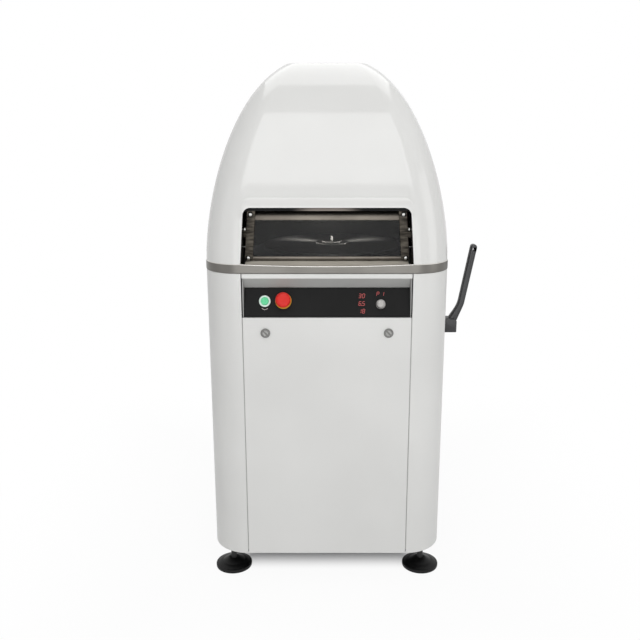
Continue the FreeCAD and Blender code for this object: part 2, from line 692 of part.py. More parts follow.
bezel = console_rod("start_bezel_radius", "start_bezel_height", "-start_x", "start_along", 0)
bezel_bore = console_rod("start_radius + fit_gap", "start_bezel_height", "-start_x", "start_along", 0)
part("start_button_bezel", cut(bezel, bezel_bore))
start_profile = [
    (0, "-start_depth"), ("start_radius", "-start_depth"), ("start_radius", "start_proud - cap_chamfer"),
    ("start_radius - cap_chamfer", "start_proud"), (0, "start_proud"),
]
part("start_button", on_console(turned(start_profile), "-start_x", "start_along", 0))

collar = console_rod("stop_collar_radius", "stop_collar_height", "-stop_x", "stop_along", 0)
collar_bore = console_rod("stop_stem_radius + fit_gap", "stop_collar_height", "-stop_x", "stop_along", 0)
part("emergency_stop_collar", cut(collar, collar_bore))
stop_profile = [
    (0, "-stop_depth"), ("stop_stem_radius", "-stop_depth"), ("stop_stem_radius", "stop_lift"),
    ("stop_radius - stop_edge / 2", "stop_lift"), ("stop_radius", "stop_lift + stop_edge"),
    ("stop_radius - stop_edge / 3", "stop_top - stop_edge"), ("stop_radius - 1.5 * stop_edge", "stop_top"),
    (0, "stop_top"),
]
part("emergency_stop_head", on_console(turned(stop_profile), "-stop_x", "stop_along", 0))

knob_profile = [
    (0, "-knob_depth"), ("knob_stem_radius", "-knob_depth"), ("knob_stem_radius", "knob_lift"),
    ("knob_radius", "knob_lift"), ("knob_radius - knob_edge / 2", "knob_top - knob_edge"),
    ("knob_radius - 1.5 * knob_edge", "knob_top"), (0, "knob_top"),
]
knob_form = on_console(turned(knob_profile), "knob_x", "knob_along", 0)
pointer = console_box(
    "pointer_width", "knob_radius", "2 * pointer_width", "knob_x", "knob_along + knob_radius",
    "knob_top - pointer_width",
)
part("control_knob", cut(knob_form, pointer))

part(
    "control_box",
    block(
        "box_width", "box_depth", "box_height", 0, "rail_face - box_depth / 2",
        "rail_bottom + rail_height - box_height",
    ),
)


# Front door: a shallow tray of sheet that stands on the base plate, with two quarter-turn locks
door_tray = cut(
    block("door_width", "door_depth", "door_top - door_shelf", 0, "front + door_depth / 2", "door_shelf"),
    block(
        "door_width - 2 * sheet_metal", "door_depth", "door_top - door_shelf - 2 * sheet_metal", 0,
        "front + door_depth / 2 + sheet_metal", "door_shelf + sheet_metal",
    ),
)
door_skirt = block(
    "door_width", "sheet_metal", "door_shelf - casing_bottom", 0, "front + sheet_metal / 2", "casing_bottom"
)
lock_hole_radius = "lock_barrel_radius + run_gap"
lock_holes = [
    rod(lock_hole_radius, "3 * sheet_metal", f"{side} * lock_x", "front - sheet_metal", "lock_z", "Y")
    for side in BOTH_SIDES
]
part("front_door", cut(join(door_tray, door_skirt), *lock_holes))


def lock_housing(x):
    barrel = join(
        rod("lock_bezel_radius", "lock_bezel_height", x, "front - lock_bezel_height", "lock_z", "Y"),
        rod("lock_barrel_radius", "lock_barrel_length", x, "front", "lock_z", "Y"),
    )
    bore = rod(
        "lock_core_radius + run_gap", "lock_barrel_length + 2 * lock_bezel_height", x,
        "front - 1.5 * lock_bezel_height", "lock_z", "Y",
    )
    return cut(barrel, bore)


def lock_core(side):
    # A round core with a driver slot, and a cam that points to the middle when released.
    x = f"{side} * lock_x"
    core = rod("lock_core_radius", "cam_face - core_face", x, "core_face", "lock_z", "Y")
    cam = block(
        "cam_length", "cam_thick", "cam_width", f"{side} * (lock_x - cam_length / 2 + cam_width / 2)",
        "cam_face + cam_thick / 2", "lock_z - cam_width / 2",
    )
    slot = block(
        "slot_width", "2 * slot_depth", "4 * lock_core_radius", x, "core_face",
        "lock_z - 2 * lock_core_radius",
    )
    return cut(join(core, cam), slot)


part("lock_housings", group_of(*[lock_housing(f"{side} * lock_x") for side in BOTH_SIDES]))
part("left_lock_core", lock_core(-1))
part("right_lock_core", lock_core(1))
keepers = [
    block(
        "keeper_width", "keeper_depth", "keeper_height", f"{side} * lock_x",
        "cam_face - keeper_gap - keeper_depth / 2", "console_bottom + fit_gap",
    )
    for side in BOTH_SIDES
]
keeper_clear = console_box(
    "body_width", "2 * console_slope", "20 * console_plate", 0, "console_slope / 2",
    "-console_plate - fit_gap",
)
part("lock_keepers", group_of(*[cut(keeper, keeper_clear) for keeper in keepers]))


# Guard: a smoked window between two rails and two side plates, hung on pivots at the sides
def guard_half(z):
    return f"(opening_bottom / 2 - guard_margin - guard_slope * (({z}) - guard_bottom))"


def guard_bar(bottom, top, margin, depth, face):
    low, high = f"({guard_half(bottom)} - {margin})", f"({guard_half(top)} - {margin})"
    outline = [(f"-{low}", bottom), (low, bottom), (high, top), (f"-{high}", top)]
    return padded(outline, depth, "XZ_Plane", 0, face)


bottom_rail = guard_bar("guard_bottom", "window_low", 0, "guard_rail_depth", "guard_face")
top_rail = guard_bar("window_high", "guard_top", 0, "guard_rail_depth", "guard_face")
part("guard_rails", group_of(bottom_rail, top_rail))
part(
    "guard_window",
    guard_bar("window_low", "window_high", "window_inset", "window_thick", "guard_y - window_thick / 2"),
)


def side_plate(side):
    low, high = guard_half("guard_bottom"), guard_half("guard_top")
    outline = [
        (f"{side} * {low}", "guard_bottom"), (f"{side} * {high}", "guard_top"),
        (f"{side} * ({high} - side_plate_width)", "guard_top"),
        (f"{side} * ({low} - side_plate_width)", "guard_bottom"),
    ]
    return padded(outline, "side_plate_thick", "XZ_Plane", 0, "guard_face - side_plate_thick")


part("guard_side_plates", group_of(*[side_plate(side) for side in BOTH_SIDES]))
cap_profile = [
    (0, 0), ("cap_nut_radius", 0), ("cap_nut_radius", "cap_nut_height"),
    ("cap_nut_radius * 0.75", "cap_nut_height + cap_dome * 0.75"), (0, "cap_nut_height + cap_dome"),
]


def cap_nut(side, z):
    x = f"{side} * ({guard_half(z)} - cap_inset)"
    return turned(cap_profile, x, "guard_face - side_plate_thick", z, X_AXIS, 90)


cap_levels = ("guard_bottom + cap_inset * 0.75", "guard_top - cap_inset")
part("guard_cap_nuts", group_of(*[cap_nut(side, z) for side in BOTH_SIDES for z in cap_levels]))


def pivot_lug(side):
    inner = f"({guard_half('pivot_z')} + fit_gap)"
    middle = f"{side} * (lug_outer + {inner}) / 2"
    foot = "pivot_z + lug_crown - lug_height"
    lug = block(f"lug_outer - {inner}", "lug_depth", "lug_height", middle, "guard_y", foot)
    length = "(lug_gap + guard_bracket_thick + pivot_end)"
    start = "lug_outer" if side > 0 else f"-lug_outer - {length}"
    pin = rod("pivot_radius", length, start, "guard_y", "pivot_z", "X")
    head = rod("pivot_radius", "pivot_head", middle, "guard_y - lug_depth / 2 - pivot_head", "pivot_z", "Y")
    return join(lug, pin, head)


part("guard_pivots", group_of(*[pivot_lug(side) for side in BOTH_SIDES]))


def guard_bracket(side):
    x = f"{side} * (guard_bracket_x + guard_bracket_thick / 2)"
    height = "pivot_z + guard_bracket_crown - deck_top"
    plate = block("guard_bracket_thick", "guard_bracket_depth", height, x, "guard_y", "deck_top")
    start = f"{x} - 1.5 * guard_bracket_thick"
    bore = rod("pivot_radius + run_gap", "3 * guard_bracket_thick", start, "guard_y", "pivot_z", "X")
    return cut(plate, bore)


part("guard_brackets", group_of(*[guard_bracket(side) for side in BOTH_SIDES]))
pin_inner = f"({guard_half('stop_pin_z')} - stop_pin_lap)"
pin_length = f"(guard_bracket_x - {pin_inner})"
stop_pins = [
    rod("stop_pin_radius", pin_length, start, "guard_face + fit_gap + stop_pin_radius", "stop_pin_z", "X")
    for start in (pin_inner, f"-{pin_inner} - {pin_length}")
]
part("guard_stop_pins", group_of(*stop_pins))


# Hand lever on the right side: a hub with a bent arm, on a shaft that carries a crank inside
def lever_rod(radius, length, x):
    return rod(radius, length, x, "lever_y", "lever_z", "X")


bush = join(
    lever_rod("bush_flange_radius", "bush_flange", "wall"),
    lever_rod("bush_radius", "bush_length", "wall - bush_length"),
)
bush_bore = lever_rod("lever_shaft_radius + run_gap", "2 * bush_length", "wall - 1.5 * bush_length")
part("lever_bush", cut(bush, bush_bore))

hub_outline = [
    ("hub_start", "lever_z - hub_height / 2"),
    ("hub_start + hub_width", "lever_z - hub_height / 2", "hub_round"),
    ("hub_start + hub_width", "hub_top - hub_chamfer"), ("hub_start + hub_width - hub_chamfer", "hub_top"),
    ("hub_start + hub_chamfer", "hub_top"), ("hub_start", "hub_top - hub_chamfer"),
]
hub = padded(hub_outline, "hub_depth", "XZ_Plane", 0, "lever_y - hub_depth / 2")
arm_outline = [
    ("lever_foot_x - arm_foot / 2", "hub_top - hub_chamfer"),
    ("lever_foot_x + arm_foot / 2", "hub_top - hub_chamfer"),
    ("lever_bend_x + arm_thick / 2", "lever_bend_z", "arm_bend_radius"),
    ("lever_tip_x + arm_thick / 2", "lever_tip_z - arm_tip_slant", "arm_tip_radius"),
    ("lever_tip_x - arm_thick / 2", "lever_tip_z", "arm_tip_radius"),
    ("lever_bend_x - arm_thick / 2", "lever_bend_z", "arm_bend_radius + arm_thick"),
]
arm = padded(arm_outline, "arm_depth", "XZ_Plane", 0, "lever_y - arm_depth / 2")
eye = rod(
    "arm_eye_radius", "2 * arm_depth", "lever_tip_x", "lever_y - arm_depth", "lever_tip_z - arm_eye_drop", "Y"
)
hub_bore_length = "wall + shaft_reach + shaft_room - hub_start"
hub_bore = lever_rod("lever_shaft_radius + run_gap", hub_bore_length, "hub_start")
part("hand_lever", cut(join(hub, arm), hub_bore, eye))

lever_shaft = lever_rod("lever_shaft_radius", "crank_inset + shaft_reach", "crank_x")
crank = padded(
    [
        ("lever_y - crank_radius", "lever_z + crank_radius", "crank_radius * 0.9"),
        ("lever_y - crank_end", "lever_z - crank_reach", "crank_end * 0.8"),
        ("lever_y + crank_end", "lever_z - crank_reach", "crank_end * 0.8"),
        ("lever_y + crank_radius", "lever_z + crank_radius", "crank_radius * 0.9"),
    ],
    "crank_thick", "YZ_Plane", "crank_x",
)
part("lever_shaft", join(lever_shaft, crank))


# Working chamber: a curved wall, and a table that circles on an eccentric spindle and an idler
def spindle(radius, height, z):
    return rod(radius, height, 0, "chamber_y", z)


shell = ring("chamber_radius + chamber_sheet", "chamber_radius", "chamber_height", 0, "chamber_y", "deck_top")
shell_front = block(
    "3 * chamber_radius", "2 * chamber_radius", "2 * chamber_height", 0,
    "chamber_y - chamber_cut - chamber_radius", "deck_top",
)
part("chamber_wall", cut(shell, shell_front))

part(
    "eccentric_shaft",
    join(
        spindle("spindle_radius", "disc_bottom - spindle_bottom", "spindle_bottom"),
        spindle("crank_disc_radius", "crank_disc_thick", "disc_bottom"),
        rod("orbit_pin_radius", "orbit_pin_length", "orbit", "chamber_y", "pin_bottom"),
    ),
)
journal_height = "idler_journal_length + crank_disc_gap"
part(
    "idler_crank",
    join(
        rod("idler_journal_radius", journal_height, 0, "idler_y", "deck_top - idler_journal_length"),
        rod("idler_disc_radius", "crank_disc_thick", 0, "idler_y", "disc_bottom"),
        rod("idler_pin_radius", "orbit_pin_length", "orbit", "idler_y", "pin_bottom"),
    ),
)
step_bottom = "table_top + table_boss_height"
table_steps = [
    rod("table_radius", "table_thick", "orbit", "chamber_y", "table_bottom"),
    rod("table_boss_radius", "table_boss_height", "orbit", "chamber_y", "table_top"),
    rod("table_step_radius", "table_step_height", "orbit", "chamber_y", step_bottom),
    rod("table_pin_radius", "table_pin_height", "orbit", "chamber_y", f"{step_bottom} + table_step_height"),
]
pin_bores = [
    rod("orbit_pin_radius + run_gap", "orbit_pin_length", "orbit", "chamber_y", "table_bottom"),
    rod("idler_pin_radius + run_gap", "orbit_pin_length", "orbit", "idler_y", "table_bottom"),
]
part("rounding_table", cut(join(*table_steps), *pin_bores))


# Drive below the deck: spindle housing, pulleys, belt, motor on its plate, and the hydraulic unit
housing = join(
    spindle("housing_flange_radius", "housing_flange", "belt_bottom - housing_flange"),
    spindle("housing_radius", "housing_height", "housing_bottom"),
)
part("bearing_housing", cut(housing, spindle("spindle_radius + run_gap", "housing_height", "housing_bottom")))


def pulley(radius, bore, y):
    # A flat-belt pulley with two rims.
    rim = f"{radius} + pulley_groove"
    low = "pulley_rim + belt_drive_gap"
    high = f"pulley_width - ({low})"
    profile = [
        (bore, 0), (rim, 0), (rim, low), (radius, low), (radius, high), (rim, high), (rim, "pulley_width"),
        (bore, "pulley_width"),
    ]
    return turned(profile, 0, y, "pulley_bottom")


part("table_pulley", pulley("pulley_radius", "spindle_radius + run_gap", "chamber_y"))
motor_spindle = rod(
    "motor_shaft_radius", "pulley_bottom + pulley_width - motor_top", 0, "motor_y", "motor_top"
)
part("motor_pulley", join(pulley("motor_pulley_radius", "motor_shaft_radius / 2", "motor_y"), motor_spindle))
motor_bottom = "motor_top - motor_height"
part(
    "drive_motor",
    join(
        rod("motor_radius", "motor_height", 0, "motor_y", motor_bottom),
        block(
            "motor_radius", "terminal_width", "terminal_height", "motor_radius", "motor_y",
            f"{motor_bottom} + terminal_lift",
        ),
    ),
)
plate_sheet = block(
    "2 * post_x - post_side - fit_gap", "plate_back - plate_front", "motor_plate_thick", 0,
    "(plate_front + plate_back) / 2", "motor_top",
)
plate_hole = rod("motor_shaft_radius + motor_shaft_gap", "motor_plate_thick", 0, "motor_y", "motor_top")
part("motor_plate", cut(plate_sheet, plate_hole))


def belt_loop(gap):
    # A closed loop round both pulleys, with straight runs that touch both circles.
    big = value("pulley_radius") + gap
    small = value("motor_pulley_radius") + gap
    big_y, small_y = value("chamber_y"), value("motor_y")
    lean = math.asin((big - small) / (small_y - big_y))
    cosine, sine = math.cos(lean), math.sin(lean)
    level = value("pulley_bottom + pulley_rim + 2 * belt_drive_gap")

    def touch(side, radius, y):
        return Vector(side * radius * cosine, y + radius * sine, level)

    edges = [
        Part.Arc(touch(-1, big, big_y), Vector(0, big_y - big, level), touch(1, big, big_y)),
        Part.LineSegment(touch(1, big, big_y), touch(1, small, small_y)),
        Part.Arc(touch(1, small, small_y), Vector(0, small_y + small, level), touch(-1, small, small_y)),
        Part.LineSegment(touch(-1, small, small_y), touch(-1, big, big_y)),
    ]
    return Part.Face(Part.Wire([edge.toShape() for edge in edges]))


belt_gap = value("belt_drive_gap")
belt_face = belt_loop(belt_gap + value("belt_drive_thick")).cut(belt_loop(belt_gap))
drive_belt = doc.addObject("Part::Feature", "drive_belt")
belt_width = value("pulley_width - 2 * pulley_rim - 4 * belt_drive_gap")
drive_belt.Shape = belt_face.extrude(Vector(0, 0, belt_width))
part("drive_belt", drive_belt)

tank = block("tank_width", "tank_depth", "tank_height", "tank_x", "tank_y", "plate_top")
pump = rod("pump_radius", "pump_height", "tank_x", "tank_y", "plate_top + tank_height")
part("hydraulic_unit", group_of(tank, pump))


# Press head: two columns and a plate carry the press ram and the knives
columns = [
    rod("column_radius", "column_height", f"{side} * column_x", "column_y", "deck_top") for side in BOTH_SIDES
]
part("head_columns", group_of(*columns))
head_front, head_back = "(chamber_y - head_front_reach)", "(column_y + head_back_margin)"
head_sheet = block(
    "2 * (column_x + head_side_margin)", f"{head_back} - {head_front}", "head_thick", 0,
    f"({head_front} + {head_back}) / 2", "head_bottom",
)
head_holes = [
    rod("knife_rod_radius + run_gap", "head_thick", f"{side} * knife_rod_x", "chamber_y", "head_bottom")
    for side in BOTH_SIDES
]
part("head_plate", cut(head_sheet, spindle("rod_radius + run_gap", "head_thick", "head_bottom"), *head_holes))
part(
    "press_cylinder",
    ring("cylinder_radius", "rod_radius + run_gap", "cylinder_height", 0, "chamber_y", "head_top"),
)

knife_angles = [360 / value("knife_count") * i for i in range(int(value("knife_count")))]


def radial_slab(width, inner, outer, height, z, angle):
    # An upright slab along one radius of the chamber.
    length = f"({outer}) - ({inner})"
    slab = bind(doc.addObject("Part::Box", "slab"), Length=length, Width=width, Height=height)
    turn = math.radians(angle)
    cosine, sine = math.cos(turn), math.sin(turn)
    x = f"({inner}) * {cosine:.9f} + ({width}) / 2 * {sine:.9f}"
    y = f"chamber_y + ({inner}) * {sine:.9f} - ({width}) / 2 * {cosine:.9f}"
    return place(slab, x, y, z, Z_AXIS, angle)


slots = [
    radial_slab(
        "knife_slot", "press_hub_radius", "knife_outer", "2 * press_thick",
        "press_bottom - press_thick / 2", angle,
    )
    for angle in knife_angles
]
press_disc = cut(spindle("press_radius", "press_thick", "press_bottom"), *slots)
press_rod = spindle("rod_radius", "head_top + rod_proud - press_top", "press_top")
part("press_plate", group_of(press_disc, press_rod))

blades = [
    radial_slab(
        "knife_thick", "press_hub_radius + knife_hub_gap", "knife_ring_inner + knife_ring_wall / 2",
        "knife_height", "knife_bottom", angle,
    )
    for angle in knife_angles
]
knife_rod_length = "head_top + knife_rod_proud - knife_top"
knife_rods = [
    rod("knife_rod_radius", knife_rod_length, f"{side} * knife_rod_x", "chamber_y", "knife_top")
    for side in BOTH_SIDES
]
part(
    "knife_set",
    join(
        ring("knife_outer", "knife_ring_inner", "knife_height", 0, "chamber_y", "knife_bottom"), *blades,
        ring("knife_outer", "carrier_inner", "carrier_thick", 0, "chamber_y", "knife_top"), *knife_rods,
    ),
)


# Cable gland in the rear panel
gland_hex = doc.addObject("Part::Prism", "gland_nut")
gland_hex.Polygon = 6
bind(gland_hex, Circumradius="gland_radius", Height="gland_nut_length")
place(gland_hex, "gland_x", "back", "gland_z", X_AXIS, -90)
gland_barrel = rod("gland_barrel_radius", "gland_length", "gland_x", "back - gland_inside", "gland_z", "Y")
gland_bore = rod("gland_bore_radius", "2 * gland_length", "gland_x", "back - gland_length", "gland_z", "Y")
part("cable_gland", cut(join(gland_hex, gland_barrel), gland_bore))


# Rebuild, check every piece and write the files
doc.recompute()
faults = [o.Label for o in doc.Objects if {"Invalid", "Error"} & set(o.State)]
for label, feature in subparts.items():
    if feature.Shape.isNull() or not feature.Shape.isValid() or not feature.Shape.Solids:
        faults.append(label)
if faults:
    raise SystemExit(f"these pieces failed to build: {sorted(set(faults))}")
os.makedirs("parts", exist_ok=True)
for label, feature in subparts.items():
    feature.Shape.exportStep(f"parts/{label}.step")
    print(label, len(feature.Shape.Solids), round(feature.Shape.Volume))
print(len(subparts), "pieces")
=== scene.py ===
import math

import bmesh
import bpy
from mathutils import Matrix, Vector


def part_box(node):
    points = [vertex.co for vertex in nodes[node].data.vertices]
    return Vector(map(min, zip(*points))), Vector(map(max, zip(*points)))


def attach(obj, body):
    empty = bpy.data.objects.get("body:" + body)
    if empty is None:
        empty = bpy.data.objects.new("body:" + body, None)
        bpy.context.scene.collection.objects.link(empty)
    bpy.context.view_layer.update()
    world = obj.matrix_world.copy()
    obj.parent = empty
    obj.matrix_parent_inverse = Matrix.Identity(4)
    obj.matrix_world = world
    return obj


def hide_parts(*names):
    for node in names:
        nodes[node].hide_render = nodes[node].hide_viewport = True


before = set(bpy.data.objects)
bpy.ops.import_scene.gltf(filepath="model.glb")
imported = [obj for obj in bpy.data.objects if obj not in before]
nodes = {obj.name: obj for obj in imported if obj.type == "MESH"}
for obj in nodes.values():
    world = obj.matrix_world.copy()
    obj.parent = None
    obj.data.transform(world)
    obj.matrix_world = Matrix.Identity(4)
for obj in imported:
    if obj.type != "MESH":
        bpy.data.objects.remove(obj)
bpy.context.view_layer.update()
print("frame loaded:", len(nodes), "nodes")

mm = 0.001
hair = 0.01 * mm  # closer than this is the same place
squarely = 0.9  # a face whose normal has this share of an axis faces along it
sharpDeg = 50  # an edge of a new piece that turns by more than this is rounded


# colours are written as sRGB hex and turned to linear
def linear(hexText):
    shares = [int(hexText[i:i + 2], 16) / 255 for i in (1, 3, 5)]
    return (*[c / 12.92 if c <= 0.04045 else ((c + 0.055) / 1.055) ** 2.4 for c in shares], 1.0)


# adds a node; a socket takes a plain value or another node's output
def addNode(tree, kind, sockets=None, **settings):
    node = tree.nodes.new(kind)
    for key, value in settings.items():
        setattr(node, key, value)
    for key, value in (sockets or {}).items():
        if isinstance(value, bpy.types.NodeSocket):
            tree.links.new(value, node.inputs[key])
        else:
            node.inputs[key].default_value = value
    return node


# the noise behind every finish: the stretch of it that is used, its detail and the strength of its bump
noise = {"grain": (0.3, 0.7), "grainDetail": 3.0, "bump": 0.6, "cloud": (0.35, 0.65), "cloudDetail": 2.0}


# a finish: fine grain moves roughness and bump, and a broad cloud moves the colour a little
def mixFinish(name, look):
    made = bpy.data.materials.new(name)
    made.use_nodes = True
    tree = made.node_tree
    shader = tree.nodes["Principled BSDF"]
    coords = addNode(tree, "ShaderNodeTexCoord").outputs["Object"]
    laid = addNode(tree, "ShaderNodeMapping", {"Vector": coords, "Scale": look.get("stretch", (1, 1, 1))})
    grainScale, cloudScale = (1 / (look[key] * mm) for key in ("grainMm", "cloudMm"))
    grain = addNode(tree, "ShaderNodeTexNoise", {
        "Vector": laid.outputs[0], "Scale": grainScale, "Detail": noise["grainDetail"]})
    cloudOn = laid.outputs[0] if look.get("streaked") else coords
    cloud = addNode(tree, "ShaderNodeTexNoise", {
        "Vector": cloudOn, "Scale": cloudScale, "Detail": noise["cloudDetail"]})
    tint = addNode(tree, "ShaderNodeMapRange", {
        "Value": cloud.outputs["Fac"], "From Min": noise["cloud"][0], "From Max": noise["cloud"][1]})
    color = addNode(tree, "ShaderNodeMix", data_type="RGBA")
    color.inputs["A"].default_value = linear(look["color"])
    color.inputs["B"].default_value = linear(look["shade"])
    tree.links.new(tint.outputs[0], color.inputs["Factor"])
    tree.links.new(color.outputs["Result"], shader.inputs["Base Color"])
    low, high = look["rough"]
    rough = addNode(tree, "ShaderNodeMapRange", {
        "Value": grain.outputs["Fac"], "From Min": noise["grain"][0], "From Max": noise["grain"][1],
        "To Min": low, "To Max": high})
    tree.links.new(rough.outputs[0], shader.inputs["Roughness"])
    bump = addNode(tree, "ShaderNodeBump", {
        "Height": grain.outputs["Fac"], "Distance": look["bumpMm"] * mm, "Strength": noise["bump"]})
    tree.links.new(bump.outputs[0], shader.inputs["Normal"])
    for socket, value in look.get("sockets", {}).items():
        shader.inputs[socket].default_value = value
    return made


